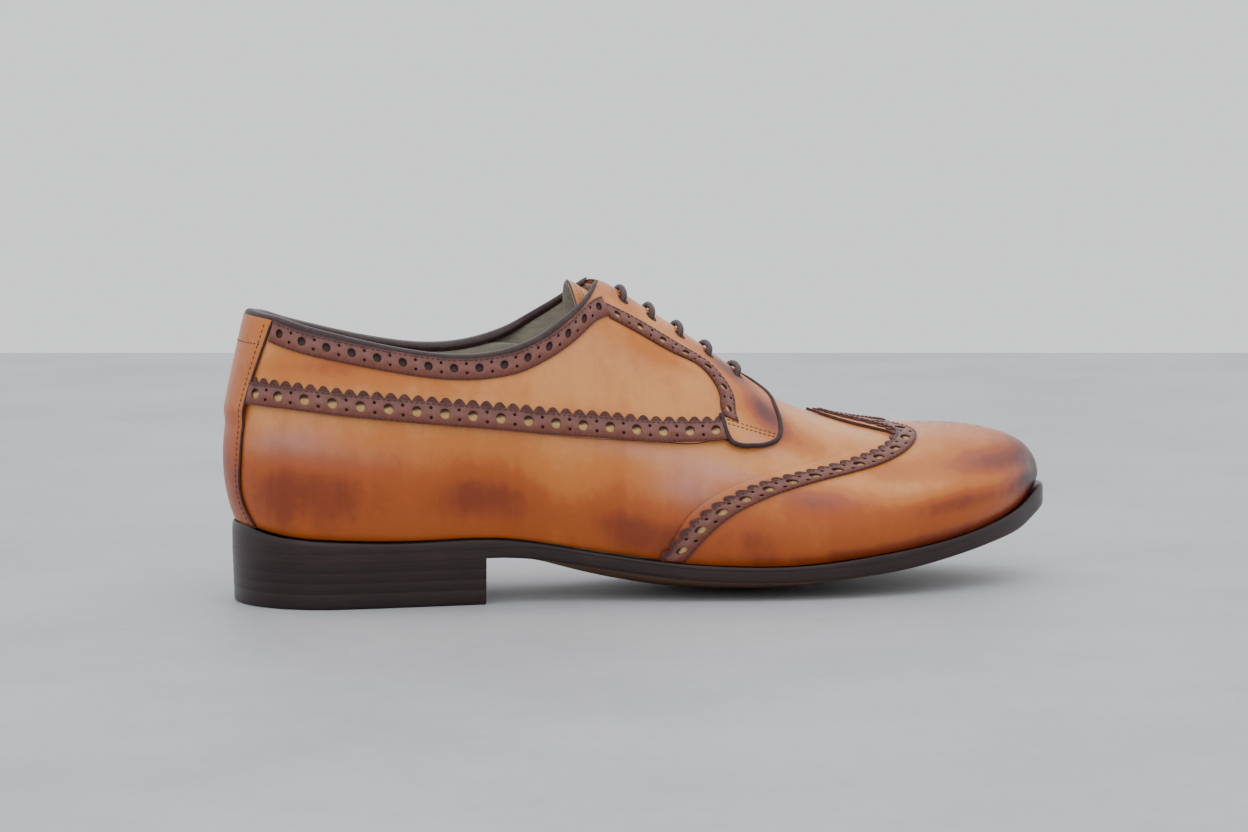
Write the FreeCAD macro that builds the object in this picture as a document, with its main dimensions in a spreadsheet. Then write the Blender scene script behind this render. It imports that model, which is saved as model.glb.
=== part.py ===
import FreeCAD, Part
import math
import os
import Sketcher

doc = FreeCAD.newDocument("DerbyShoe")
vec = FreeCAD.Vector

# sizes (mm)
sizes = doc.addObject("Spreadsheet::Sheet", "Sizes")
rows = [
    ("shoeLength", 306.0, "outsole heel to toe"),
    ("shoeWidth", 100.5, "outsole across the ball"),
    ("backHeight", 79.0, "upper height above the feather line at the back, sets the scale of the upper"),
    ("heelLength", 85.5, "heel block front to back"),
    ("topPieceThick", 5.6, "rubber top piece"),
    ("liftThick", 3.68, "one leather heel lift"),
    ("outsoleThick", 4.0, "leather outsole in the forepart"),
    ("insoleThick", 2.5, "insole board"),
    ("weltWidth", 8.0, "welt and rand, outside edge to seam"),
    ("leatherThick", 1.1, "upper leather"),
    ("liningThick", 0.8, "lining leather"),
    ("stiffThick", 0.45, "toe puff and heel counter"),
    ("stripThick", 0.5, "brogue strip"),
    ("layerGap", 0.2, "air between layers"),
    ("counterRoom", 0.25, "extra air outside the heel counter"),
    ("liftPlay", 0.04, "air over each heel lift"),
    ("laceRadius", 1.15, "waxed round lace"),
    ("laceHolePlay", 0.45, "hole punched in the facing, over the lace radius"),
    ("lacePitch", 11.0, "eyelet to eyelet"),
    ("agletLength", 16.0, "metal lace end"),
    ("agletWall", 0.15, "metal lace end, over the lace radius"),
    ("nailRadius", 0.9, "heel nail"),
    ("nailPlay", 0.1, "hole for a heel nail, over its radius"),
    ("shankWidth", 13.0, "steel shank"),
    ("shankThick", 1.0, "steel shank"),
]
for i, (name, value, note) in enumerate(rows, 1):
    sizes.set("A%d" % i, name)
    sizes.set("B%d" % i, str(value))
    sizes.set("C%d" % i, note)
    sizes.setAlias("B%d" % i, name)
doc.recompute()
size = {name: float(sizes.get(name)) for name, _, _ in rows}

baseLength, baseWidth, baseBack = 306.0, 100.5, 79.0     # sizes the tables below were drawn for
liftCount = 3
heelTop = size["topPieceThick"] + liftCount * size["liftThick"]     # underside of the outsole at the heel
baseHeel = 16.64
lift = heelTop - baseHeel
soleRise = size["outsoleThick"] - 4.0 + size["insoleThick"] - 2.5     # how far a thicker bottom lifts the upper


# curves
class Curve:
    """Natural cubic curve through (position, value) pairs."""

    def __init__(self, xs, ys):
        n = len(xs)
        self.xs, self.ys = list(xs), list(ys)
        lower, diag, upper, right = [0.0] * n, [1.0] * n, [0.0] * n, [0.0] * n
        for i in range(1, n - 1):
            a, b = xs[i] - xs[i - 1], xs[i + 1] - xs[i]
            lower[i], diag[i], upper[i] = a, 2 * (a + b), b
            right[i] = 6 * ((ys[i + 1] - ys[i]) / b - (ys[i] - ys[i - 1]) / a)
        for i in range(1, n):
            f = lower[i] / diag[i - 1]
            diag[i] -= f * upper[i - 1]
            right[i] -= f * right[i - 1]
        self.bend = [0.0] * n
        self.bend[-1] = right[-1] / diag[-1]
        for i in range(n - 2, -1, -1):
            self.bend[i] = (right[i] - upper[i] * self.bend[i + 1]) / diag[i]

    def __call__(self, x):
        xs, ys, m = self.xs, self.ys, self.bend
        lo, hi = 0, len(xs) - 1
        while hi - lo > 1:
            mid = (lo + hi) // 2
            if xs[mid] > x:
                hi = mid
            else:
                lo = mid
        gap = xs[hi] - xs[lo]
        a, b = (xs[hi] - x) / gap, (x - xs[lo]) / gap
        return (a * ys[lo] + b * ys[hi]
                + ((a ** 3 - a) * m[lo] + (b ** 3 - b) * m[hi]) * gap * gap / 6)


def table(pairs):
    return Curve([p[0] for p in pairs], [p[1] for p in pairs])


def path(points, scale=110.0):
    """Curve through (distance from back seam, height share) points, run by 0..1."""
    along = [0.0]
    for (s0, v0), (s1, v1) in zip(points, points[1:]):
        along.append(along[-1] + math.hypot(s1 - s0, (v1 - v0) * scale))
    along = [a / along[-1] for a in along]
    cs, cv = Curve(along, [p[0] for p in points]), Curve(along, [p[1] for p in points])
    return lambda a: (cs(a), cv(a))


def step(x, lo, hi):
    q = max(0.0, min(1.0, (x - lo) / (hi - lo)))
    return q * q * (3 - 2 * q)


# last
# station x, feather height, ridge side shift, ridge height,
# half widths feather..ridge on the outer and inner side, heights above the feather
stations = [
    (35, 23.9, 0.0, 134.0, (31.0, 35.0, 37.0, 28.5, 19.0), (31.0, 35.0, 37.0, 28.5, 19.0), (11, 34, 66)),
    (62, 23.2, 0.0, 134.0, (31.5, 35.5, 37.5, 29.5, 20.0), (30.5, 35.0, 37.0, 29.5, 20.0), (11, 34, 66)),
    (90, 23.3, 0.5, 131.0, (31.5, 36.0, 38.5, 30.5, 18.5), (28.5, 34.0, 37.0, 30.0, 18.5), (11, 33, 64)),
    (118, 19.2, 1.5, 121.5, (33.0, 37.5, 39.0, 30.0, 15.0), (26.0, 33.0, 36.5, 29.0, 15.0), (10, 32, 64)),
    (146, 14.9, 2.5, 105.5, (38.0, 41.5, 40.0, 28.5, 11.5), (29.5, 35.5, 37.0, 27.5, 11.5), (9, 30, 60)),
    (172, 12.8, 3.0, 88.5, (43.0, 46.5, 43.5, 30.5, 12.0), (36.5, 42.0, 40.5, 29.5, 12.0), (8.5, 26, 50)),
    (198, 12.7, 3.5, 70.5, (46.0, 49.5, 47.0, 35.0, 14.5), (42.5, 47.5, 45.5, 33.5, 14.0), (8, 21, 38)),
    (222, 14.9, 4.0, 61.3, (45.5, 49.0, 47.5, 38.0, 18.0), (44.5, 49.0, 48.0, 36.5, 16.5), (7.5, 18, 30)),
    (246, 17.9, 4.5, 57.6, (40.5, 44.0, 43.5, 36.5, 19.0), (42.5, 46.5, 46.0, 36.5, 18.0), (7, 16, 26)),
    (266, 21.4, 5.0, 56.7, (32.5, 36.0, 36.5, 32.5, 18.0), (37.0, 41.0, 41.5, 33.5, 17.5), (6.5, 15, 25)),
    (282, 25.3, 5.0, 54.9, (21.5, 25.0, 25.5, 25.0, 15.0), (29.5, 33.3, 34.0, 26.5, 15.5), (5.5, 12.5, 21)),
    (293, 29.3, 5.0, 51.4, (10.5, 13.5, 14.0, 15.0, 9.5), (20.5, 23.7, 24.0, 16.0, 9.5), (4.5, 10, 16)),
    (299.5, 33.0, 5.0, 46.8, (2.0, 4.0, 4.2, 7.0, 4.5), (12.0, 14.0, 14.2, 7.0, 4.5), (2.5, 5.5, 9)),
]
toeTip = (303.4, 5.0, 38.5)
fanCentre = 35.0
# angle round the heel, feather height, radii, heights
heelFan = [
    (30, 25.0, (31.6, 35.6, 37.6, 29.0, 20.0), (36, 59, 90, 134)),
    (60, 27.2, (32.6, 36.4, 38.4, 31.0, 21.0), (37, 58, 88, 133)),
    (90, 29.0, (33.5, 37.2, 39.2, 32.0, 22.0), (38, 57, 87, 132)),
]


def stationRow(row, side):
    x, foot, shift, top, outer, inner, up = row
    w = outer if side < 0 else inner
    return [(x, side * w[0], foot), (x, side * w[1], foot + up[0]), (x, side * w[2], foot + up[1]),
            (x, shift + side * w[3], foot + up[2]), (x, shift + side * w[4], top), (x, shift, top)]


def heelRow(row, side):
    angle, foot, radii, up = row
    dx, dy = -math.sin(math.radians(angle)), side * math.cos(math.radians(angle))
    zs = (foot,) + up
    ring = [(fanCentre + dx * r, dy * r, z) for r, z in zip(radii, zs)]
    return ring + [(fanCentre, 0.0, 134.0)]


def halfRows(side):
    rows = [[toeTip] * 6] + [stationRow(r, side) for r in reversed(stations)]
    return rows + [heelRow(r, side) for r in heelFan]


def flipped(row):
    return [(p[0], 2 * toeTip[1] - p[1], 2 * toeTip[2] - p[2]) for p in row]


outerHalf, innerHalf = halfRows(-1), halfRows(1)
marks = [0.0]
for i in range(len(outerHalf) - 1):
    girth = math.dist(outerHalf[i][1], outerHalf[i + 1][1]) + math.dist(innerHalf[i][1], innerHalf[i + 1][1])
    marks.append(marks[-1] + girth / 2)
half = marks[-1]                   # toe tip to back seam round the bulge
ghosts = 3
allRows = ([flipped(outerHalf[i]) for i in range(ghosts, 0, -1)] + outerHalf + innerHalf[::-1][1:]
           + [flipped(innerHalf[i]) for i in range(1, ghosts + 1)])
allMarks = ([-marks[i] for i in range(ghosts, 0, -1)] + marks + [2 * half - p for p in marks[::-1][1:]]
            + [2 * half + marks[i] for i in range(1, ghosts + 1)])
level = [[Curve(allMarks, [r[i][c] for r in allRows]) for c in range(3)] for i in range(6)]
knots = [0, 0, 0, 0, 1 / 3, 2 / 3, 1, 1, 1, 1]


def section(points, v):
    """Point of a six-point clamped cubic section at height share v."""
    v = max(0.0, min(1.0, v))
    k = 3 if v < knots[4] else 4 if v < knots[5] else 5
    d = [points[j] for j in range(k - 3, k + 1)]
    for r in range(1, 4):
        for j in range(3, r - 1, -1):
            i = j + k - 3
            a = (v - knots[i]) / (knots[i + 4 - r] - knots[i])
            d[j] = tuple((1 - a) * d[j - 1][c] + a * d[j][c] for c in range(3))
    return d[3]


def plainPoint(k, v):
    return section([(row[0](k), row[1](k), row[2](k)) for row in level], v)


scaleX = size["shoeLength"] / baseLength
scaleY = size["shoeWidth"] / baseWidth
scaleUp = size["backHeight"] / baseBack
feather = table([(-8, 29.3), (1.5, 29.0), (6.7, 27.2), (19, 25.0), (35, 23.9), (62, 23.2), (90, 23.3),
                 (118, 19.2), (146, 14.9), (172, 12.8), (198, 12.7), (222, 14.9), (246, 17.9), (266, 21.4),
                 (282, 25.3), (293, 29.3), (299.5, 33.0), (308, 36.5)])


def sized(p):
    """Take a table point to the sizes in the sheet."""
    foot = feather(min(p[0], 299.0))
    z = foot + (p[2] - foot) * scaleUp if p[2] > foot else p[2]
    raise_ = lift * (1 - step(p[0], 60, 185)) + soleRise
    return vec(p[0] * scaleX, p[1] * scaleY, z + raise_)


def at(s, v, t=0.0):
    """Point a distance s from the back seam (outer side +), height share v, t outside the last."""
    k = half - s
    p = sized(plainPoint(k, v))
    if t == 0.0:
        return p
    across = sized(plainPoint(k + 0.4, v)) - sized(plainPoint(k - 0.4, v))
    up = sized(plainPoint(k, min(1.0, v + 0.01))) - sized(plainPoint(k, max(0.0, v - 0.01)))
    out = up.cross(across)
    out.normalize()
    return p + out * t


def over(s, w, t=0.0):
    """Point of a piece that crosses the ridge: w runs -1 outer feather, 0 ridge, 1 inner feather."""
    if w <= 0:
        return at(s, 1 + w, t)
    return at(-s, 1 - w, t)


# solids
def skin(points):
    surface = Part.BSplineSurface()
    surface.interpolate(points)
    return surface


def rim(surface):
    u0, u1, v0, v1 = surface.bounds()
    return [surface.uIso(u0), surface.uIso(u1), surface.vIso(v0), surface.vIso(v1)]


def solidOf(faces, tolerance=0.02):
    shell = Part.makeCompound(faces)
    shell.sewShape(tolerance)
    shells = shell.Shells
    solid = Part.makeSolid(shells[0])
    if solid.Volume < 0:
        solid.reverse()
    return solid


def thick(low, high):
    """Solid between two grids of points."""
    a, b = skin(low), skin(high)
    faces = [a.toShape(), b.toShape()]
    for e0, e1 in zip(rim(a), rim(b)):
        faces.append(Part.makeRuledSurface(e0.toShape(), e1.toShape()))
    return solidOf(faces)


def grid(point, na, nb, t):
    rows = []
    for i in range(na):
        rows.append([point(i / (na - 1), j / (nb - 1), t) for j in range(nb)])
    return rows


def layer(point, na, nb, t0, t1):
    return thick(grid(point, na, nb, t0), grid(point, na, nb, t1))


def between(low, high, place=at, t=None):
    """Point function for the patch between two paths."""
    def point(a, b, depth):
        (s0, v0), (s1, v1) = low(a), high(a)
        s, v = s0 + (s1 - s0) * b, v0 + (v1 - v0) * b
        return place(s, v, depth if t is None else t(s, v, depth))
    return point


def mirrored(curve):
    return lambda a: (-curve(a)[0], curve(a)[1])


nodes = []


def addShape(name, shape):
    obj = doc.addObject("Part::Feature", name)
    obj.Label = name
    obj.Shape = shape
    nodes.append(obj)
    return obj


# lines on the last
topline = [(0, 0.727), (12, 0.720), (24.8, 0.706), (37.3, 0.684), (55.4, 0.661), (69.9, 0.640),
           (83.6, 0.623), (94.1, 0.617), (105, 0.623), (112.4, 0.636), (120.1, 0.658), (127.9, 0.689),
           (136.1, 0.735), (144.8, 0.800), (149.8, 0.857), (153.5, 0.925)]
facingEdge = [(157, 0.965), (171, 0.965), (185, 0.965), (199, 0.965), (210, 0.965), (216, 0.955),
              (219.2, 0.920), (219.9, 0.859)]
tabEnd = [(197, 0.578), (201.9, 0.572), (207.8, 0.602), (214.1, 0.648), (217.9, 0.694), (219.5, 0.738),
          (220.1, 0.795)]
bandLow = [(0.3, 0.500), (20.2, 0.483), (39.7, 0.454), (68.4, 0.432), (96.7, 0.407), (125.7, 0.405),
           (155.7, 0.440), (171, 0.471), (190, 0.541)]
bandTop = [(0.3, 0.571), (18.7, 0.561), (75.8, 0.508), (111.4, 0.490), (133.5, 0.502), (164, 0.545),
           (193, 0.640)]
collarLow = [(22.3, 0.654), (38.4, 0.617), (55, 0.595), (69.4, 0.575), (83.2, 0.558), (97.3, 0.554),
             (111.9, 0.573), (119.5, 0.594), (127.2, 0.627), (135.3, 0.670), (143.6, 0.725), (152, 0.800)]
facingLow = [(157, 0.808), (168.3, 0.803), (183.6, 0.804), (191.4, 0.807), (196.0, 0.768), (196.8, 0.729),
             (196.2, 0.660)]
facingHigh = [(157, 0.866), (169.9, 0.874), (185.5, 0.876), (200.0, 0.876), (203.8, 0.831),
              (204.5, 0.774), (204.4, 0.690)]
wingBack = [(169.5, 0.010), (173, 0.094), (176.5, 0.170), (184, 0.265), (191.9, 0.335), (199.8, 0.402),
            (215.8, 0.529), (232.3, 0.649), (249.6, 0.759), (262, 0.830), (265.5, 0.872), (259, 0.906),
            (248.0, 0.940), (236, 1.0)]
wingFront = [(178.5, 0.010), (184, 0.094), (189.5, 0.165), (197, 0.243), (205, 0.312), (213, 0.380),
             (229, 0.500), (245, 0.600), (260, 0.692), (272, 0.800), (274.5, 0.880), (270, 0.935),
             (260, 0.972), (249, 1.0)]
throat = [(197, 0.650), (203, 0.720), (209, 0.800), (213, 0.890), (214, 1.0)]


def bothSides(points):
    """Lateral points, ridge, then the same points back down the inner side, as (s, w)."""
    left = [(s, v - 1) for s, v in points]
    return left + [(s, 1 - v) for s, v in points[-2::-1]]


def wingLine(shift=0.0):
    c = table([(v, s) for s, v in [(167.5, -0.02)] + wingBack])
    return lambda w: c(1 - abs(w)) + shift


# levels through the upper
gap = size["layerGap"]
quarterIn = -0.4
quarterOut = quarterIn + size["leatherThick"]
vampOut = quarterIn - gap
vampIn = vampOut - size["leatherThick"]
stiffOut = vampIn - gap
stiffIn = stiffOut - size["stiffThick"]
liningOut = stiffIn - size["counterRoom"] - gap
liningIn = liningOut - size["liningThick"]
stripIn = quarterOut + gap
stripOut = stripIn + size["stripThick"]
stayOut = quarterIn - gap
stayIn = stayOut - size["liningThick"]
laceUnder = stayIn - gap * 2 - size["laceRadius"]
laceOver = quarterOut + gap * 2.5 + size["laceRadius"]
tongueOut = laceUnder - size["laceRadius"] - 1.2
tongueIn = tongueOut - 1.0
tongueRoot = vampIn - 0.75


# upper
def quarter(name, turn):
    low = path(bandLow + tabEnd)
    high = path([(0.3, 0.727)] + topline[1:] + facingEdge)
    if turn:
        low, high = mirrored(low), mirrored(high)
    body = layer(between(low, high), 56, 12, quarterIn, quarterOut)
    side = -1 if turn else 1
    for s in laceRows():
        body = body.cut(holeThrough(s * side))
    return addShape(name, body)


def laceRows():
    return [207.5 - i * size["lacePitch"] for i in range(5)]


laceShare = 0.912


def holeThrough(s):
    low, high = at(s, laceShare, stayIn - 1.0), at(s, laceShare, quarterOut + 1.0)
    radius = size["laceRadius"] + size["laceHolePlay"]
    return Part.makeCylinder(radius, (high - low).Length, low, high - low)


def facingStay(name, turn):
    side = -1 if turn else 1
    low = path([(158, 0.735), (172, 0.728), (186, 0.740), (198, 0.765), (205, 0.800)])
    high = path([(158, 0.955), (172, 0.957), (186, 0.957), (200, 0.957), (211, 0.957)])
    if turn:
        low, high = mirrored(low), mirrored(high)
    body = layer(between(low, high), 16, 8, stayIn, stayOut)
    for s in laceRows():
        body = body.cut(holeThrough(s * side))
    return addShape(name, body)


def vamp():
    """One horseshoe of leather: outer side, over the front, inner side, open at the back seam."""
    low = path([(0.15, 0.004), (60, 0.004), (120, 0.004), (177, 0.004)])
    high = path([(0.15, 0.571)] + bandTop[1:] + [(197, 0.650)])
    edge = path(bothSides([(177, 0.004)] + wingFront[1:]))
    back = path(bothSides(throat))
    sides, fronts, across = 30, 61, 11

    def row(low, high, a, place, turn, t):
        (s0, v0), (s1, v1) = low(a), high(a)
        line = []
        for j in range(across):
            b = j / (across - 1)
            line.append(place(turn * (s0 + (s1 - s0) * b), v0 + (v1 - v0) * b, t))
        return line

    def points(t):
        rows = [row(low, high, i / sides, at, 1, t) for i in range(sides)]
        rows += [row(edge, back, i / (fronts - 1), over, 1, t) for i in range(fronts)]
        rows += [row(low, high, i / sides, at, -1, t) for i in range(sides - 1, -1, -1)]
        return rows

    return addShape("vamp", thick(points(vampIn), points(vampOut)))


def wingCap():
    line = wingLine(2.0)

    def point(a, b, t):
        w = -0.996 + 1.992 * a
        tip = half - 0.9
        edge = line(w)
        return over(tip + (edge - tip) * b ** 1.4, w, t)

    return addShape("wing_cap", layer(point, 65, 20, quarterIn, quarterOut))


def toePuff():
    def point(a, b, t):
        tip = half - 6.0
        return over(tip + (272 - tip) * b ** 1.2, -0.9 + 1.8 * a, t)
    return addShape("toe_puff", layer(point, 33, 12, stiffIn, stiffOut))


def heelCounter():
    low = path([(-78, 0.05), (0, 0.05), (78, 0.05)])
    high = path([(-70, 0.30), (-45, 0.42), (-18, 0.50), (0, 0.51), (18, 0.50), (45, 0.42), (70, 0.30)])
    room = size["counterRoom"]
    return addShape("heel_counter", layer(between(low, high), 33, 8, stiffIn - room, stiffOut - room))


def quarterLining(name, turn):
    low = path([(46, 0.01), (90, 0.01), (150, 0.01), (196, 0.01)])
    high = path([(46, 0.668), (69.9, 0.635), (94.1, 0.612), (112.4, 0.631), (124, 0.665), (134, 0.690),
                 (146, 0.690), (160, 0.655), (178, 0.620), (196, 0.590)])
    if turn:
        low, high = mirrored(low), mirrored(high)
    return addShape(name, layer(between(low, high), 30, 9, liningIn, liningOut))


def heelGrip():
    low = path([(-45.5, 0.02), (0, 0.02), (45.5, 0.02)])
    high = path([(-45.5, 0.668), (-25, 0.700), (0, 0.721), (25, 0.700), (45.5, 0.668)])
    return addShape("heel_grip", layer(between(low, high), 25, 9, liningIn, liningOut))


def vampLining():
    def point(a, b, t):
        w = -0.985 + 1.97 * a
        tip = half - 9.0
        edge = 198.5 + 26.0 * (1 - step(abs(w), 0.37, 0.52))
        return over(tip + (edge - tip) * b ** 1.15, w, t)
    return addShape("vamp_lining", layer(point, 49, 16, liningIn, liningOut))


def tongueShape(inside, outside, front, name):
    def point(a, b, t):
        end = 147.0 + 5.0 * (2 * a - 1) ** 4
        s = end + (front - end) * b
        width = 0.30 + 0.05 * step(s, 145, 190)
        deep = inside if t == 0 else outside
        root = tongueRoot - 1.0 if t == 0 else tongueRoot
        return over(s, -width + 2 * width * a, deep + (root - deep) * step(s, 209.8, 215.5))
    return addShape(name, thick(grid(point, 21, 26, 0), grid(point, 21, 26, 1)))


def backStrip():
    def point(a, b, t):
        v = 0.006 + (0.724 - 0.006) * b
        width = table([(0, 17.6), (0.05, 15.2), (0.11, 13.4), (0.27, 14.4), (0.43, 15.3), (0.56, 17.7),
                       (0.67, 21.5), (0.73, 24.5)])(v)
        s = (2 * a - 1) * width
        v -= 0.018 * b * (s / 24.5) ** 2
        rise = step(v, 0.40, 0.47)
        low = quarterIn + (stripIn - quarterIn) * rise
        return at(s, v, low + (size["stripThick"] + 0.3) * t)
    return addShape("back_strip", thick(grid(point, 15, 26, 0), grid(point, 15, 26, 1)))


def toplineBinding():
    inner = [(-s, v + 0.004) for s, v in topline[:0:-1]] + [(s, v + 0.004) for s, v in topline]
    outer = [(s, v + 0.016) for s, v in inner]
    low, high = path(inner), path(outer)

    def point(a, b, t):
        (s0, v0), (s1, v1) = low(a), high(a)
        inside = liningIn + (stayIn - liningIn) * step(abs(s0), 124, 137)
        return at(s0 + (s1 - s0) * b, v0 + (v1 - v0) * b, inside if t == 0 else stripOut)
    return addShape("topline_binding", thick(grid(point, 81, 4, 0), grid(point, 81, 4, 1)))


def facingBinding(name, turn):
    inner = facingEdge[:5] + facingEdge[5:] + tabEnd[:0:-1]
    inner = [(s, v + 0.005) if v > 0.96 else (s + 0.5, v + (0.003 if v > 0.9 else 0.0)) for s, v in inner[:-2]]
    inner += [(208.2, 0.596), (202.2, 0.566)]
    outer = [(157, 0.979), (171, 0.979), (185, 0.979), (199, 0.979), (210.5, 0.979), (217.4, 0.966),
             (220.9, 0.924), (221.5, 0.859), (221.7, 0.795), (221.1, 0.735), (219.4, 0.686),
             (215.3, 0.637), (208.7, 0.589), (202.5, 0.559)]
    low, high = path(inner), path(outer)
    if turn:
        low, high = mirrored(low), mirrored(high)
    return addShape(name, layer(between(low, high), 90, 4, quarterIn, stripOut - 0.5))


def strip(name, low, high, turn, na=40):
    low, high = path(low), path(high)
    if turn:
        low, high = mirrored(low), mirrored(high)
    return addShape(name, layer(between(low, high), na, 4, stripIn, stripOut))


def wingStrip():
    low, high = path(bothSides(wingFront)), path(bothSides(wingBack))

    def point(a, b, t):
        (s0, w0), (s1, w1) = low(a), high(a)
        return over(s0 + (s1 - s0) * b, w0 + (w1 - w0) * b, t)
    return addShape("brogue_strip_wing", layer(point, 91, 4, stripIn, stripOut))


# bottom
outline = [(306, 5), (303.4, -3.6), (296.6, -12.2), (285.4, -23.2), (268, -35), (250, -42.8), (230, -48), (210, -50.5),
           (190, -50), (165, -46), (140, -39.5), (115, -34), (88, -33), (60, -34), (35, -34),
           (17, -29.6), (4.9, -17.4), (0, 0), (4.9, 17.4), (17, 29.6), (35, 34), (60, 33.5), (88, 29.5),
           (115, 26), (140, 29), (165, 36.5), (190, 43.5), (210, 47), (230, 47.5), (250, 44.5),
           (268, 39.6), (285.6, 31.2), (296.6, 22.0), (303.4, 13.6)]


def plan(inset):
    """Closed face in plan, a distance inside the outsole's edge."""
    n = len(outline)
    points = []
    for i in range(n):
        (ax, ay), (bx, by) = outline[i - 1], outline[(i + 1) % n]
        dx, dy = bx - ax, by - ay
        size_ = math.hypot(dx, dy)
        x, y = outline[i][0] + inset * dy / size_, outline[i][1] - inset * dx / size_
        points.append(vec(x * scaleX, y * scaleY, -20))
    curve = Part.BSplineCurve()
    curve.interpolate(points, PeriodicFlag=True)
    return Part.Face(Part.Wire(curve.toShape()))


def prism(inset):
    return plan(inset).extrude(vec(0, 0, 120))


sideOuter = table([(-10, -34), (60, -34), (88, -33), (115, -34), (140, -39.5), (165, -46), (190, -50),
                   (210, -50.5), (230, -48), (250, -42.5), (268, -34), (285, -24), (310, -14)])
sideInner = table([(-10, 34), (60, 33.5), (88, 29.5), (115, 26), (140, 29), (165, 36.5), (190, 43.5),
                   (210, 47), (230, 47.5), (250, 44.5), (268, 38.5), (285, 31), (310, 24)])
soleEdge = table([(-10, 16.64), (20, 16.64), (50, 16.64), (75, 16.64), (90, 16.6), (97, 16.3),
                  (111, 14.7), (125, 12.4), (139, 10.3), (153, 8.4), (174, 7.0), (196, 6.8), (219, 7.9),
                  (235.5, 9.4), (252.6, 12.1), (271, 15.5), (281, 17.6), (291, 20.6), (300, 25.0),
                  (312, 29.0)])
camber = table([(-10, 0), (40, 0), (80, 0), (92, 0.5), (105, 2.0), (125, 4.5), (150, 6.0), (174, 6.5),
                (196, 6.65), (219, 5.5), (236, 4.6), (252, 3.8), (271, 3.0), (285, 2.2), (300, 1.0),
                (312, 0.6)])


def belly(x, y):
    """How far the middle of the sole hangs below its edges; flat over the heel."""
    lo, hi = sideOuter(x), sideInner(x)
    u = (y - (lo + hi) / 2) / ((hi - lo) / 2)
    return max(camber(x), 0.0) * step(x, 84, 96) * (1 - min(u * u, 1.6))


def soleUnder(x, y):
    return soleEdge(x) - belly(x, y) + lift * (1 - step(x, 86, 185))


def outsoleTop(x, y):
    thickness = size["outsoleThick"] - 0.7 * (1 - step(x, 86, 112))
    return soleUnder(x, y) + thickness


def seatRise(x):
    return lift * (1 - step(x, 60, 185)) + soleRise


def weltTop(x, y):
    return feather(min(x, 303.0)) - 0.3 + seatRise(x)


def insoleTop(x, y):
    return weltTop(x, y) + 1.3 - 0.35 * belly(x, y)


def slab(low, high, x0=-8.0, x1=311.0, na=46, y0=-56.0, y1=54.0, nb=13):
    def points(fn):
        out = []
        for i in range(na):
            x = x0 + (x1 - x0) * i / (na - 1)
            line = []
            for j in range(nb):
                y = y0 + (y1 - y0) * j / (nb - 1)
                line.append(vec(x * scaleX, y * scaleY, fn(x, y)))
            out.append(line)
        return out
    return thick(points(low), points(high))


def frontHalf(x0, x1=400.0):
    return Part.makeBox((x1 - x0) * scaleX, 400, 400, vec(x0 * scaleX, -200, -100))


def nailSpots(inset, count):
    spots = []
    for i in range(count):
        angle = math.radians(-75 + 150 * i / (count - 1))
        r = 33.5 - inset
        spots.append((34 - r * math.cos(angle), r * math.sin(angle)))
    return spots + [(62, -33 + inset), (62, 31 - inset), (78, -10), (78, 8)]


def bottomUnit():
    shapes = {}
    solid = slab(soleUnder, outsoleTop).common(prism(0.0))
    pegs = [Part.makeCylinder(size["nailRadius"] + size["nailPlay"], 12, vec(x * scaleX, y * scaleY, heelTop - 2))
            for x, y in nailSpots(9, 7)]
    shapes["outsole"] = solid.cut(Part.makeCompound(pegs))
    ring = prism(0.0).cut(prism(size["weltWidth"]))
    band = slab(lambda x, y: outsoleTop(x, y) + 0.05, weltTop).common(ring)
    shapes["welt"] = band.common(frontHalf(88.1))
    shapes["heel_rand"] = band.common(frontHalf(-50, 87.9))
    board = slab(lambda x, y: insoleTop(x, y) - size["insoleThick"], insoleTop)
    shapes["insole"] = board.common(prism(size["weltWidth"] + 0.2))
    shapes["sock_lining"] = slab(lambda x, y: insoleTop(x, y) + 0.1, lambda x, y: insoleTop(x, y) + 0.9
                                 ).common(prism(size["weltWidth"] + 1.0)).common(frontHalf(-50, 96))
    fill = slab(lambda x, y: outsoleTop(x, y) + 0.15, lambda x, y: insoleTop(x, y) - size["insoleThick"] - 0.15)
    rib = prism(size["weltWidth"] + 0.5).cut(prism(size["weltWidth"] + 4.0))
    shapes["insole_rib"] = fill.common(rib).common(frontHalf(100))

    def middle(x, y):
        return (outsoleTop(x, 0) + insoleTop(x, 0) - size["insoleThick"]) / 2

    thin = size["shankThick"] / 2
    wide = size["shankWidth"] / 2
    shank = slab(lambda x, y: middle(x, y) - thin, lambda x, y: middle(x, y) + thin, 52, 158, 16,
                 -wide - 2, wide - 2, 4)
    room = slab(lambda x, y: middle(x, y) - thin - 0.12, lambda x, y: middle(x, y) + thin + 0.12, 51.5, 158.5,
                16, -wide - 2.4, wide - 1.6, 4)
    shapes["shank"] = shank
    shapes["cork_filler"] = fill.common(prism(size["weltWidth"] + 4.4)).cut(room)
    for name, shape in shapes.items():
        if shape.ShapeType != "Solid" and len(shape.Solids) == 1:
            shape = shape.Solids[0]
        addShape(name, shape)


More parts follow.
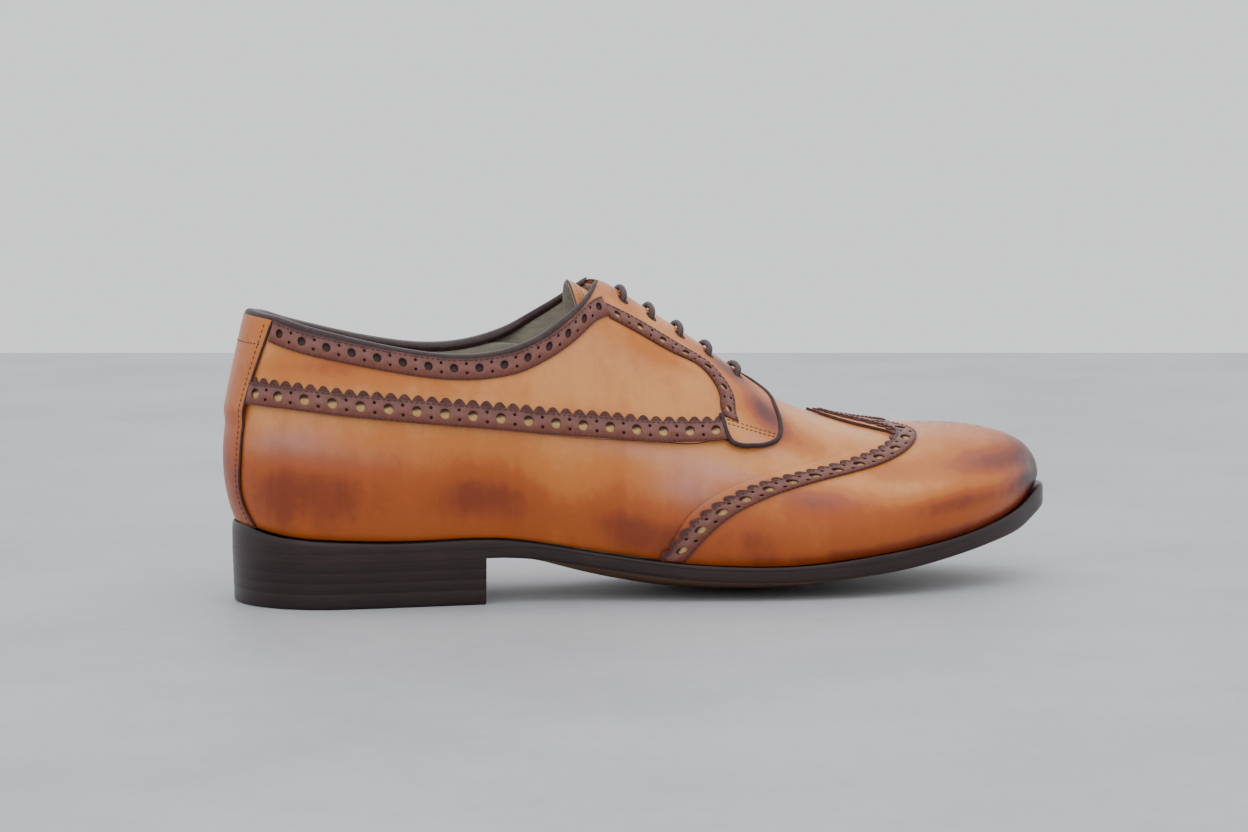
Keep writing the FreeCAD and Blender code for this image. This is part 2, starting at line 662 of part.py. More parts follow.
def heelSketch(body, inset, spots):
    """D-shaped outline of one heel layer with its nail holes."""
    sketch = body.newObject("Sketcher::SketchObject", body.Name + "_outline")
    r = (34.0 - inset)
    cx, front = 34.0, size["heelLength"]
    yo, yi = -33.0 + inset, 29.8 - inset
    sx, sy = scaleX, scaleY
    hole = size["nailRadius"] + size["nailPlay"]
    back = Part.BSplineCurve()
    ring = [vec((cx + (front - cx) * 0.5) * sx, -(r - 0.2) * sy, 0)]
    for i in range(9):
        angle = math.radians(-90 + 180 * i / 8)
        ring.append(vec((cx - r * math.cos(angle)) * sx, r * math.sin(angle) * sy, 0))
    ring.append(vec((cx + (front - cx) * 0.5) * sx, (r - 1.4) * sy, 0))
    back.interpolate([vec(front * sx, yo * sy, 0)] + ring + [vec(front * sx, yi * sy, 0)])
    sketch.addGeometry(back, False)
    line = sketch.addGeometry(Part.LineSegment(vec(front * sx, yi * sy, 0), vec(front * sx, yo * sy, 0)), False)
    sketch.addConstraint(Sketcher.Constraint("Vertical", line))
    for x, y in spots:
        index = sketch.addGeometry(Part.Circle(vec(x * sx, y * sy, 0), vec(0, 0, 1), hole), False)
        bound = sketch.addConstraint(Sketcher.Constraint("Radius", index, hole))
        sketch.setExpression("Constraints[%d]" % bound, "Sizes.nailRadius + Sizes.nailPlay")
    return sketch


def heelLayer(name, base, inset, length, spots):
    body = doc.addObject("PartDesign::Body", name)
    body.Label = name
    pad = body.newObject("PartDesign::Pad", name + "_pad")
    pad.Profile = heelSketch(body, inset, spots)
    pad.setExpression("Length", length)
    body.Placement = FreeCAD.Placement(vec(0, 0, base), FreeCAD.Rotation())
    nodes.append(body)
    return body


def nails(name, spots, base, length):
    """One node: a headless nail at every spot."""
    parts = []
    for i, (x, y) in enumerate(spots):
        pin = doc.addObject("Part::Cylinder", "%s_%d" % (name, i + 1))
        pin.setExpression("Radius", "Sizes.nailRadius")
        pin.Height = length
        pin.Placement = FreeCAD.Placement(vec(x * scaleX, y * scaleY, base), FreeCAD.Rotation())
        parts.append(pin)
    group = doc.addObject("Part::Compound", name)
    group.Label = name
    group.Links = parts
    nodes.append(group)


def heelStack():
    inner, outer = nailSpots(9, 7), nailSpots(4.5, 9)
    heelLayer("heel_top_piece", 0.0, 1.3, "Sizes.topPieceThick", outer)
    for i in range(liftCount):
        base = size["topPieceThick"] + i * size["liftThick"]
        heelLayer("heel_lift_%d" % (i + 1), base, 0.9 - 0.3 * i, "Sizes.liftThick - Sizes.liftPlay", inner)
    nails("heel_nails", inner, size["topPieceThick"] + 0.1, heelTop + 2.9 - size["topPieceThick"])
    nails("top_piece_nails", outer, 0.4, size["topPieceThick"] - 0.5)


# lace
def laceTurns():
    """Corner points of the lace's centre line, end to end; both ends lie tucked under the facings."""
    u, o = laceUnder, laceOver
    w = 1 - laceShare
    turns = [over(s, -0.205, u) for s in (167, 183, 199)]
    for i, s in enumerate(laceRows()):
        turns += [over(s, -w, u), over(s, -w, o), over(s, 0.0, o + 0.45), over(s, w, o), over(s, w, u)]
        if i < 4:
            turns.append(over(s - size["lacePitch"] / 2, 0.0, u + 0.35))
    return turns + [over(s, 0.205, u) for s in (168, 178, 185)]


def rounded(points, radius):
    """Straight runs joined by tangent arcs."""
    edges, here = [], points[0]
    for a, b, c in zip(points, points[1:], points[2:]):
        p, q = (a - b).normalize(), (c - b).normalize()
        angle = p.getAngle(q)
        if angle > math.radians(179):
            continue
        cut = radius / math.tan(angle / 2)
        cut = min(cut, 0.46 * (a - b).Length, 0.46 * (c - b).Length)
        r = cut * math.tan(angle / 2)
        start, end = b + p * cut, b + q * cut
        middle = b + (p + q).normalize() * (r / math.sin(angle / 2) - r)
        edges.append(Part.LineSegment(here, start).toShape())
        edges.append(Part.Arc(start, middle, end).toShape())
        here = end
    edges.append(Part.LineSegment(here, points[-1]).toShape())
    return edges


def lace():
    turns = laceTurns()
    edges = rounded(turns, 1.6)
    wire = Part.Wire(edges)
    start = turns[0]
    circle = Part.Wire(Part.makeCircle(size["laceRadius"], start, turns[1] - start))
    body = wire.makePipeShell([circle], True, False)
    print("lace length", round(wire.Length, 1))
    addShape("lace", body)
    for name, tip, before in (("aglet_lateral", turns[0], turns[1]), ("aglet_medial", turns[-1], turns[-2])):
        along = (tip - before).normalize()
        tube = doc.addObject("Part::Cylinder", name)
        tube.Label = name
        tube.setExpression("Radius", "Sizes.laceRadius + Sizes.agletWall")
        tube.setExpression("Height", "Sizes.agletLength")
        tube.Placement = FreeCAD.Placement(tip + along * 0.02, FreeCAD.Rotation(vec(0, 0, 1), along))
        nodes.append(tube)


# build
def build():
    bottomUnit()
    heelStack()
    vamp()
    wingCap()
    toePuff()
    heelCounter()
    for tag, turn in (("lateral", False), ("medial", True)):
        quarter("quarter_" + tag, turn)
        quarterLining("quarter_lining_" + tag, turn)
        facingStay("facing_stay_" + tag, turn)
        facingBinding("facing_binding_" + tag, turn)
        strip("brogue_strip_side_" + tag, [(25.5, 0.478)] + bandLow[2:8] + [(188, 0.533)],
              [(25.5, 0.558)] + bandTop[2:6] + [(190, 0.628)], turn)
        strip("brogue_strip_collar_" + tag, [(26.5, 0.645)] + collarLow[1:],
              [(26.5, 0.700)] + topline[3:14] + [(151.2, 0.868)], turn)
        strip("brogue_strip_facing_" + tag, facingLow, facingHigh, turn)
    heelGrip()
    vampLining()
    tongueShape(tongueIn, tongueOut, 221.5, "tongue")
    tongueShape(tongueIn - 0.8, tongueIn - 0.2, 207.0, "tongue_lining")
    backStrip()
    toplineBinding()
    wingStrip()
    lace()


build()
doc.recompute()
box = FreeCAD.BoundBox()
for node in nodes:
    box.add(node.Shape.optimalBoundingBox(False, False))
shift = vec(-(box.XMin + box.XMax) / 2, -(box.YMin + box.YMax) / 2, -box.ZMin)
for node in nodes:
    if node.TypeId == "Part::Compound":
        node.Placement = FreeCAD.Placement(shift, FreeCAD.Rotation())
    else:
        node.Placement = FreeCAD.Placement(node.Placement.Base + shift, node.Placement.Rotation)
doc.recompute()
print("shift", [round(q, 3) for q in shift], "size", round(box.XLength, 1), round(box.YLength, 1),
      round(box.ZLength, 1))

for obj in doc.Objects:
    if "Invalid" in obj.State or "Error" in obj.State:
        raise RuntimeError(obj.Label + " did not build")
os.makedirs("parts", exist_ok=True)
for node in nodes:
    shape = node.Shape
    if shape.isNull() or not shape.isValid():
        raise RuntimeError(node.Label + " is not a valid shape")
    if not shape.Solids:
        raise RuntimeError(node.Label + " holds no solid")
    shape.exportStep("parts/%s.step" % node.Label)
print(len(nodes), "sub-parts")
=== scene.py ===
import math
import random
import bpy
import numpy as np
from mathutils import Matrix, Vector
from mathutils.geometry import delaunay_2d_cdt


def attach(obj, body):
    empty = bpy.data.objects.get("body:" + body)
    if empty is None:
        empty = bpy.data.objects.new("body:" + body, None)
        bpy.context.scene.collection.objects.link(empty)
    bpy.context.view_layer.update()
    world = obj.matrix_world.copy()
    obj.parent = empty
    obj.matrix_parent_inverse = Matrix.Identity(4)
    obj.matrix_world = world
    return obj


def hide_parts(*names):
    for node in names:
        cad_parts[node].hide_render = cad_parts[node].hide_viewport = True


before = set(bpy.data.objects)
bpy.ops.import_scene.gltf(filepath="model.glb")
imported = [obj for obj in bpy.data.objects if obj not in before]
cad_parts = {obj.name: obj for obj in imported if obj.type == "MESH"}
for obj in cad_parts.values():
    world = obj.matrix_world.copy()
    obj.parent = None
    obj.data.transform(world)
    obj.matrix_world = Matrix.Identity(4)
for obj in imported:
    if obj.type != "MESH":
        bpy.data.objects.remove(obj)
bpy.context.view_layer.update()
random.seed(11)
mm = 0.001
origin = np.array([-151.459, 0.945, 0.0])     # the last's own corner, in the row frame, mm
print("frame loaded")


# smooth curves through points
class Curve:
    def __init__(self, pairs):
        xs = np.array([p[0] for p in pairs], float)
        ys = np.array([p[1] for p in pairs], float)
        n = len(xs)
        system, right = np.eye(n), np.zeros(n)
        for i in range(1, n - 1):
            a, b = xs[i] - xs[i - 1], xs[i + 1] - xs[i]
            system[i, i - 1:i + 2] = a, 2 * (a + b), b
            right[i] = 6 * ((ys[i + 1] - ys[i]) / b - (ys[i] - ys[i - 1]) / a)
        self.xs, self.ys, self.bend = xs, ys, np.linalg.solve(system, right)

    def __call__(self, x):
        x = np.asarray(x, float)
        lo = np.clip(np.searchsorted(self.xs, x) - 1, 0, len(self.xs) - 2)
        gap = self.xs[lo + 1] - self.xs[lo]
        a, b = (self.xs[lo + 1] - x) / gap, (x - self.xs[lo]) / gap
        cubic = (a ** 3 - a) * self.bend[lo] + (b ** 3 - b) * self.bend[lo + 1]
        return a * self.ys[lo] + b * self.ys[lo + 1] + cubic * gap * gap / 6


# a line on the last through (distance, share) points, run by 0..1
def trace(points, scale=110.0):
    p = np.array(points, float)
    steps = np.hypot(np.diff(p[:, 0]), np.diff(p[:, 1]) * scale)
    along = np.concatenate([[0], np.cumsum(steps)]) / steps.sum()
    cs, cv = Curve(list(zip(along, p[:, 0]))), Curve(list(zip(along, p[:, 1])))
    return lambda a: (cs(a), cv(a))


def runLength(points):
    return np.concatenate([[0], np.cumsum(np.linalg.norm(np.diff(points, axis=0), axis=1))])


def ease(x, lo, hi):
    q = np.clip((np.asarray(x, float) - lo) / (hi - lo), 0, 1)
    return q * q * (3 - 2 * q)


# the last: station x, feather height, ridge shift, ridge height, half widths out and in, heights
stations = [
    (35, 23.9, 0.0, 134.0, (31.0, 35.0, 37.0, 28.5, 19.0), (31.0, 35.0, 37.0, 28.5, 19.0), (11, 34, 66)),
    (62, 23.2, 0.0, 134.0, (31.5, 35.5, 37.5, 29.5, 20.0), (30.5, 35.0, 37.0, 29.5, 20.0), (11, 34, 66)),
    (90, 23.3, 0.5, 131.0, (31.5, 36.0, 38.5, 30.5, 18.5), (28.5, 34.0, 37.0, 30.0, 18.5), (11, 33, 64)),
    (118, 19.2, 1.5, 121.5, (33.0, 37.5, 39.0, 30.0, 15.0), (26.0, 33.0, 36.5, 29.0, 15.0), (10, 32, 64)),
    (146, 14.9, 2.5, 105.5, (38.0, 41.5, 40.0, 28.5, 11.5), (29.5, 35.5, 37.0, 27.5, 11.5), (9, 30, 60)),
    (172, 12.8, 3.0, 88.5, (43.0, 46.5, 43.5, 30.5, 12.0), (36.5, 42.0, 40.5, 29.5, 12.0), (8.5, 26, 50)),
    (198, 12.7, 3.5, 70.5, (46.0, 49.5, 47.0, 35.0, 14.5), (42.5, 47.5, 45.5, 33.5, 14.0), (8, 21, 38)),
    (222, 14.9, 4.0, 61.3, (45.5, 49.0, 47.5, 38.0, 18.0), (44.5, 49.0, 48.0, 36.5, 16.5), (7.5, 18, 30)),
    (246, 17.9, 4.5, 57.6, (40.5, 44.0, 43.5, 36.5, 19.0), (42.5, 46.5, 46.0, 36.5, 18.0), (7, 16, 26)),
    (266, 21.4, 5.0, 56.7, (32.5, 36.0, 36.5, 32.5, 18.0), (37.0, 41.0, 41.5, 33.5, 17.5), (6.5, 15, 25)),
    (282, 25.3, 5.0, 54.9, (21.5, 25.0, 25.5, 25.0, 15.0), (29.5, 33.3, 34.0, 26.5, 15.5), (5.5, 12.5, 21)),
    (293, 29.3, 5.0, 51.4, (10.5, 13.5, 14.0, 15.0, 9.5), (20.5, 23.7, 24.0, 16.0, 9.5), (4.5, 10, 16)),
    (299.5, 33.0, 5.0, 46.8, (2.0, 4.0, 4.2, 7.0, 4.5), (12.0, 14.0, 14.2, 7.0, 4.5), (2.5, 5.5, 9)),
]
toeTip = (303.4, 5.0, 38.5)
heelFan = [
    (30, 25.0, (31.6, 35.6, 37.6, 29.0, 20.0), (36, 59, 90, 134)),
    (60, 27.2, (32.6, 36.4, 38.4, 31.0, 21.0), (37, 58, 88, 133)),
    (90, 29.0, (33.5, 37.2, 39.2, 32.0, 22.0), (38, 57, 87, 132)),
]
fanCentre = 35.0


def stationRow(row, side):
    x, foot, shift, top, outer, inner, up = row
    w = outer if side < 0 else inner
    return [(x, side * w[0], foot), (x, side * w[1], foot + up[0]), (x, side * w[2], foot + up[1]),
            (x, shift + side * w[3], foot + up[2]), (x, shift + side * w[4], top), (x, shift, top)]


def heelRow(row, side):
    angle, foot, radii, up = row
    dx, dy = -math.sin(math.radians(angle)), side * math.cos(math.radians(angle))
    return [(fanCentre + dx * r, dy * r, z) for r, z in zip(radii, (foot,) + up)] + [(fanCentre, 0.0, 134.0)]


def halfRows(side):
    rows = [[toeTip] * 6] + [stationRow(r, side) for r in reversed(stations)]
    return np.array(rows + [heelRow(r, side) for r in heelFan], float)


outerHalf, innerHalf = halfRows(-1), halfRows(1)
girth = (np.linalg.norm(np.diff(outerHalf[:, 1], axis=0), axis=1)
         + np.linalg.norm(np.diff(innerHalf[:, 1], axis=0), axis=1)) / 2
marks = np.concatenate([[0], np.cumsum(girth)])
half = marks[-1]                        # toe tip to back seam
turned = np.array([1.0, -1.0, -1.0])
tipTwice = np.array([0, 2 * toeTip[1], 2 * toeTip[2]])
ghost = slice(3, 0, -1)
lastRows = np.concatenate([outerHalf[ghost] * turned + tipTwice, outerHalf, innerHalf[::-1][1:],
                           innerHalf[1:4] * turned + tipTwice])
lastMarks = np.concatenate([-marks[ghost], marks, 2 * half - marks[::-1][1:], 2 * half + marks[1:4]])
level = [[Curve(list(zip(lastMarks, lastRows[:, i, c]))) for c in range(3)] for i in range(6)]
knots = [0, 0, 0, 0, 1 / 3, 2 / 3, 1, 1, 1, 1]


# weights of the six section points at height share v
def shares(v):
    v = np.clip(v, 0, 1 - 1e-9)
    n = [((v >= knots[i]) & (v < knots[i + 1])).astype(float) for i in range(9)]
    for d in range(1, 4):
        for i in range(9 - d):
            left, right = knots[i + d] - knots[i], knots[i + d + 1] - knots[i + 1]
            a = (v - knots[i]) / left * n[i] if left else 0
            b = (knots[i + d + 1] - v) / right * n[i + 1] if right else 0
            n[i] = a + b
    return np.stack(n[:6], -1)


def bare(k, v):
    points = np.stack([np.stack([c(k) for c in row], -1) for row in level], -2)
    return np.einsum("...i,...ic->...c", shares(v), points)


# metres in the row frame: s from the back seam (outer side +), height share v, t outside
def at(s, v, t=0.0):
    s, v, t = np.broadcast_arrays(np.asarray(s, float), np.asarray(v, float), np.asarray(t, float))
    k = half - s
    across = bare(k + 0.4, v) - bare(k - 0.4, v)
    up = bare(k, np.minimum(1, v + 0.01)) - bare(k, np.maximum(0, v - 0.01))
    out = np.cross(up, across)
    out /= np.linalg.norm(out, axis=-1, keepdims=True) + 1e-12
    return (bare(k, v) + out * t[..., None] + origin) * mm


# the same for pieces that cross the ridge: w -1 outer feather, 0 ridge, 1 inner feather
def over(s, w, t=0.0):
    s, w = np.broadcast_arrays(np.asarray(s, float), np.asarray(w, float))
    return at(np.where(w <= 0, s, -s), 1 - np.abs(w), t)


# levels through the upper, mm outside the last
quarterIn, quarterOut = -0.4, 0.7
vampIn = -1.7
liningIn, liningOut = -3.6, -2.8
stayIn, stayOut = -1.4, -0.6
laceUnder, laceOver = -2.95, 2.35
tongueOut = -5.3

topline = [(0, 0.727), (12, 0.720), (24.8, 0.706), (37.3, 0.684), (55.4, 0.661), (69.9, 0.640),
           (83.6, 0.623), (94.1, 0.617), (105, 0.623), (112.4, 0.636), (120.1, 0.658), (127.9, 0.689),
           (136.1, 0.735), (144.8, 0.800), (149.8, 0.857), (153.5, 0.925)]
facingEdge = [(157, 0.965), (171, 0.965), (185, 0.965), (199, 0.965), (210, 0.965), (216, 0.955),
              (219.2, 0.920), (219.9, 0.859)]
tabEnd = [(197, 0.578), (201.9, 0.572), (207.8, 0.602), (214.1, 0.648), (217.9, 0.694), (219.5, 0.738),
          (220.1, 0.795)]
bandLow = [(0.3, 0.500), (20.2, 0.483), (39.7, 0.454), (68.4, 0.432), (96.7, 0.407), (125.7, 0.405),
           (155.7, 0.440), (171, 0.471), (190, 0.541)]
bandTop = [(0.3, 0.571), (18.7, 0.561), (75.8, 0.508), (111.4, 0.490), (133.5, 0.502), (164, 0.545),
           (193, 0.640)]
collarLow = [(22.3, 0.654), (38.4, 0.617), (55, 0.595), (69.4, 0.575), (83.2, 0.558), (97.3, 0.554),
             (111.9, 0.573), (119.5, 0.594), (127.2, 0.627), (135.3, 0.670), (143.6, 0.725), (152, 0.800)]
facingLow = [(157, 0.808), (168.3, 0.803), (183.6, 0.804), (191.4, 0.807), (196.0, 0.768), (196.8, 0.729),
             (196.2, 0.660)]
facingHigh = [(157, 0.866), (169.9, 0.874), (185.5, 0.876), (200.0, 0.876), (203.8, 0.831),
              (204.5, 0.774), (204.4, 0.690)]
wingBack = [(169.5, 0.010), (173, 0.094), (176.5, 0.170), (184, 0.265), (191.9, 0.335), (199.8, 0.402),
            (215.8, 0.529), (232.3, 0.649), (249.6, 0.759), (262, 0.830), (265.5, 0.872), (259, 0.906),
            (248.0, 0.940), (236, 1.0)]
wingFront = [(178.5, 0.010), (184, 0.094), (189.5, 0.165), (197, 0.243), (205, 0.312), (213, 0.380),
             (229, 0.500), (245, 0.600), (260, 0.692), (272, 0.800), (274.5, 0.880), (270, 0.935),
             (260, 0.972), (249, 1.0)]
throat = [(197, 0.650), (203, 0.720), (209, 0.800), (213, 0.890), (214, 1.0)]


def bothSides(points):
    left = [(s, v - 1) for s, v in points]
    return left + [(s, 1 - v) for s, v in points[-2::-1]]


# colouring, as (distance, share, reach along, reach up, strength)
burnMarks = [
    (40, 0.18, 24, 0.12, 0.26), (30, 0.06, 22, 0.08, 0.08), (104, 0.15, 22, 0.09, 0.22),
    (75, 0.22, 16, 0.08, -0.04), (132, 0.25, 14, 0.12, -0.12), (147, 0.13, 20, 0.06, 0.08),
    (166, 0.09, 18, 0.10, 0.24), (180, 0.31, 12, 0.08, -0.04), (51, 0.59, 30, 0.05, 0.33),
    (93, 0.53, 30, 0.04, 0.08), (228, 0.38, 16, 0.09, 0.40), (284, 0.28, 26, 0.10, 0.26),
    (304, 0.60, 23, 0.14, 0.60), (300, 0.88, 24, 0.10, 0.24),
    (345, 0.50, 17, 0.60, 0.95), (325, 0.80, 14, 0.30, 0.38),
    (322, 0.30, 12, 0.20, 0.25), (300, 0.02, 50, 0.05, 0.25), (240, 0.02, 50, 0.04, 0.20),
    (215, 0.79, 8, 0.08, 0.84), (204, 0.90, 8, 0.05, 0.80), (190, 0.90, 10, 0.03, 0.25),
    (176, 0.77, 12, 0.03, 0.16), (161, 0.93, 8, 0.04, 0.38), (4, 0.12, 9, 0.12, -0.10),
    (4, 0.45, 12, 0.20, 0.15), (205, 0.12, 12, 0.08, 0.15),
    (225, 0.72, 14, 0.06, 0.20), (262, 0.62, 14, 0.08, 0.22),
    (150, 0.50, 22, 0.03, 0.10), (159, 0.76, 16, 0.08, 0.09), (325, 0.30, 12, 0.16, 0.12),
]
# purple dye with painted highlight: lighter mauve spots where reflections of the sky fall
purpleAndHighlightMarks = [
    (35, 0.345, 17, 0.06, 0.80), (192, 0.43, 15, 0.06, 0.70), (163, 0.42, 18, 0.04, 0.40),
    (181, 0.315, 12, 0.07, 0.80), (228, 0.38, 15, 0.07, 0.42), (300, 0.61, 18, 0.12, 0.45),
    (216, 0.77, 7, 0.07, 0.60), (262, 0.60, 12, 0.08, 0.08), (62, 0.30, 22, 0.05, 0.22),
    (320, 0.42, 10, 0.20, 0.35), (150, 0.70, 18, 0.05, 0.15), (213, 0.63, 8, 0.03, 0.45),
    (270, 0.93, 16, 0.08, 0.25),
]


def touches(marks, s, v):
    total = np.zeros(np.shape(s))
    for sc, vc, rs, rv, strength in marks:
        total = total + strength * np.exp(-((s - sc) / rs) ** 2 - ((v - vc) / rv) ** 2)
    return total


# how dark the dye is at a place, and how much purple dye and painted highlight it has
def colouring(s, v):
    s = np.abs(s)
    burn = 0.06 + 0.36 * (1 - ease(v, 0.18, 0.50)) + touches(burnMarks, s, v)
    return np.clip(burn, 0, 1), np.clip(touches(purpleAndHighlightMarks, s, v), 0, 1)


# materials
def newMaterial(name):
    material = bpy.data.materials.new(name)
    material.use_nodes = True
    tree = material.node_tree
    shader = tree.nodes["Principled BSDF"]
    return material, tree, shader


def setLook(shader, values):
    for key, value in values.items():
        shader.inputs[key].default_value = value


def node(tree, kind, inputs=None, **settings):
    made = tree.nodes.new(kind)
    for key, value in settings.items():
        setattr(made, key, value)
    for key, value in (inputs or {}).items():
        if isinstance(value, bpy.types.NodeSocket):
            tree.links.new(value, made.inputs[key])
        else:
            made.inputs[key].default_value = value
    return made


def noise(tree, scale, detail=4.0, rough=0.55, vector=None, distort=0.0):
    where = vector or node(tree, "ShaderNodeTexCoord").outputs["Object"]
    return node(tree, "ShaderNodeTexNoise", {"Vector": where, "Scale": scale, "Detail": detail,
                                             "Roughness": rough, "Distortion": distort}).outputs[0]


def math2(tree, operation, a, b=0.0, clamp=False):
    made = tree.nodes.new("ShaderNodeMath")
    made.operation, made.use_clamp = operation, clamp
    for socket, value in zip(made.inputs, (a, b)):
        if isinstance(value, bpy.types.NodeSocket):
            tree.links.new(value, socket)
        else:
            socket.default_value = value
    return made.outputs[0]


def ramp(tree, factor, stops):
    made = tree.nodes.new("ShaderNodeValToRGB")
    made.color_ramp.interpolation = "EASE"
    while len(made.color_ramp.elements) < len(stops):
        made.color_ramp.elements.new(0.5)
    for element, (place, colour) in zip(made.color_ramp.elements, stops):
        element.position = place
        element.color = (*colour, 1)
    tree.links.new(factor, made.inputs[0])
    return made.outputs[0]


def bump(tree, shader, height, strength, distance, before=None):
    made = node(tree, "ShaderNodeBump", {"Height": height, "Strength": strength, "Distance": distance})
    if before:
        tree.links.new(before.outputs[0], made.inputs["Normal"])
    tree.links.new(made.outputs[0], shader.inputs["Normal"])
    return made


# fine calf pores over faint broad ripples
def grain(tree, shader, scale=1500.0, strength=0.16):
    where = node(tree, "ShaderNodeTexCoord").outputs["Object"]
    pores = node(tree, "ShaderNodeTexVoronoi", {"Vector": where, "Scale": scale},
                 feature="DISTANCE_TO_EDGE").outputs[0]
    fine = noise(tree, scale * 1.7, 3, 0.6)
    height = math2(tree, "ADD", math2(tree, "MULTIPLY", pores, 0.7), math2(tree, "MULTIPLY", fine, 0.5))
    ripple = bump(tree, shader, noise(tree, 70, 3, 0.5), 0.10, 0.002)
    return bump(tree, shader, height, strength, 0.00012, ripple)


def patinaAndHighlightLeather():
    look = {"rough": 0.40, "coat": 0.14, "coatRough": 0.26, "specular": 0.34}
    material, tree, shader = newMaterial("patinaAndHighlightLeather")
    burnt = node(tree, "ShaderNodeAttribute", attribute_name="burn").outputs["Fac"]
    # burn is the dye's darkness; the second attribute is purple dye with painted highlight
    purpleAndHighlight = node(tree, "ShaderNodeAttribute", attribute_name="purpleAndHighlight").outputs["Fac"]
    where = node(tree, "ShaderNodeTexCoord").outputs["Object"]
    strokes = node(tree, "ShaderNodeMapping", {"Vector": where, "Scale": (1.0, 0.6, 0.22)}).outputs[0]
    cloud = noise(tree, 85, 4, 0.55, vector=strokes, distort=0.5)      # up and down strokes of the dye pad
    small = noise(tree, 300, 4, 0.65)
    sponge = math2(tree, "MULTIPLY", math2(tree, "SUBTRACT", cloud, 0.5), 0.26)
    dab = math2(tree, "MULTIPLY", math2(tree, "SUBTRACT", small, 0.5), 0.14)
    tone = math2(tree, "ADD", math2(tree, "ADD", burnt, sponge), dab, clamp=True)
    colour = ramp(tree, tone, [(0.0, (0.72, 0.295, 0.090)), (0.24, (0.56, 0.165, 0.024)),
                               (0.46, (0.41, 0.083, 0.008)), (0.66, (0.235, 0.038, 0.007)),
                               (0.84, (0.110, 0.019, 0.012)), (1.0, (0.030, 0.010, 0.012))])
    # lighter mauve colours mixed in by the second attribute: purple dye and painted highlight
    purple = ramp(tree, tone, [(0.0, (0.62, 0.285, 0.215)), (0.45, (0.36, 0.130, 0.105)),
                               (1.0, (0.13, 0.042, 0.042))])
    mixed = tree.nodes.new("ShaderNodeMix")
    mixed.data_type = "RGBA"
    tree.links.new(purpleAndHighlight, mixed.inputs[0])
    tree.links.new(colour, mixed.inputs[6])
    tree.links.new(purple, mixed.inputs[7])
    tree.links.new(mixed.outputs[2], shader.inputs["Base Color"])
    uneven = math2(tree, "MULTIPLY", math2(tree, "SUBTRACT", small, 0.5), 0.18)
    gloss = math2(tree, "ADD", look["rough"], uneven)
    tree.links.new(gloss, shader.inputs["Roughness"])
    setLook(shader, {"Coat Weight": look["coat"], "Coat Roughness": look["coatRough"],
                     "Specular IOR Level": look["specular"]})
    grain(tree, shader)
    return material


def stripLeather():
    material, tree, shader = newMaterial("stripLeather")
    rise = node(tree, "ShaderNodeAttribute", attribute_name="rise").outputs["Fac"]
    cloud = noise(tree, 90, 4, 0.6)
    fine = noise(tree, 620, 3, 0.6)
    mottle = math2(tree, "ADD", math2(tree, "MULTIPLY", cloud, 0.5), math2(tree, "MULTIPLY", fine, 0.3))
    tone = math2(tree, "ADD", rise, math2(tree, "SUBTRACT", mottle, 0.4), clamp=True)
    colour = ramp(tree, tone, [(0.0, (0.120, 0.026, 0.014)), (0.25, (0.155, 0.040, 0.023)),
                               (0.55, (0.205, 0.078, 0.060)), (0.80, (0.190, 0.070, 0.056)),
                               (1.0, (0.080, 0.026, 0.021))])
    tree.links.new(colour, shader.inputs["Base Color"])
    setLook(shader, {"Roughness": 0.42, "Coat Weight": 0.10, "Coat Roughness": 0.3,
                     "Specular IOR Level": 0.35})
    grain(tree, shader, 1900.0, 0.2)
    return material


def darkLeather(name, base, rough=0.4):
    material, tree, shader = newMaterial(name)
    fine = noise(tree, 500, 4, 0.6)
    lighter = tuple(min(1, c * 1.9 + 0.004) for c in base)
    tree.links.new(ramp(tree, fine, [(0.3, base), (0.75, lighter)]), shader.inputs["Base Color"])
    setLook(shader, {"Roughness": rough, "Specular IOR Level": 0.35})
    grain(tree, shader, 2200.0, 0.25)
    return material


def liningLeather(name, base, rough=0.62):
    material, tree, shader = newMaterial(name)
    where = node(tree, "ShaderNodeMapping", {"Vector": node(tree, "ShaderNodeTexCoord").outputs["Object"],
                                             "Scale": (0.35, 1, 1.6)}).outputs[0]
    brushed = noise(tree, 420, 5, 0.7, vector=where)
    broad = noise(tree, 60, 3, 0.5)
    tone = math2(tree, "ADD", math2(tree, "MULTIPLY", brushed, 0.6), math2(tree, "MULTIPLY", broad, 0.4))
    dark, light = tuple(c * 0.72 for c in base), tuple(min(1, c * 1.22) for c in base)
    tree.links.new(ramp(tree, tone, [(0.3, dark), (0.7, light)]), shader.inputs["Base Color"])
    setLook(shader, {"Roughness": rough, "Sheen Weight": 0.25, "Sheen Roughness": 0.5})
    bump(tree, shader, brushed, 0.25, 0.0002)
    return material


def inkedSole(name, base=(0.0125, 0.0070, 0.0070)):
    material, tree, shader = newMaterial(name)
    where = node(tree, "ShaderNodeTexCoord").outputs["Object"]
    long = node(tree, "ShaderNodeMapping", {"Vector": where, "Scale": (0.12, 0.12, 1.5)}).outputs[0]
    streak = noise(tree, 900, 4, 0.7, vector=long)
    cloud = noise(tree, 55, 3, 0.5)
    tone = math2(tree, "ADD", math2(tree, "MULTIPLY", streak, 0.6), math2(tree, "MULTIPLY", cloud, 0.4))
    warm = (base[0] * 2.6, base[1] * 1.9, base[2] * 1.6)
    tree.links.new(ramp(tree, tone, [(0.32, base), (0.72, warm)]), shader.inputs["Base Color"])
    setLook(shader, {"Roughness": 0.38, "Specular IOR Level": 0.30, "Coat Weight": 0.12,
                     "Coat Roughness": 0.2})
    bump(tree, shader, streak, 0.14, 0.0002)
    return material


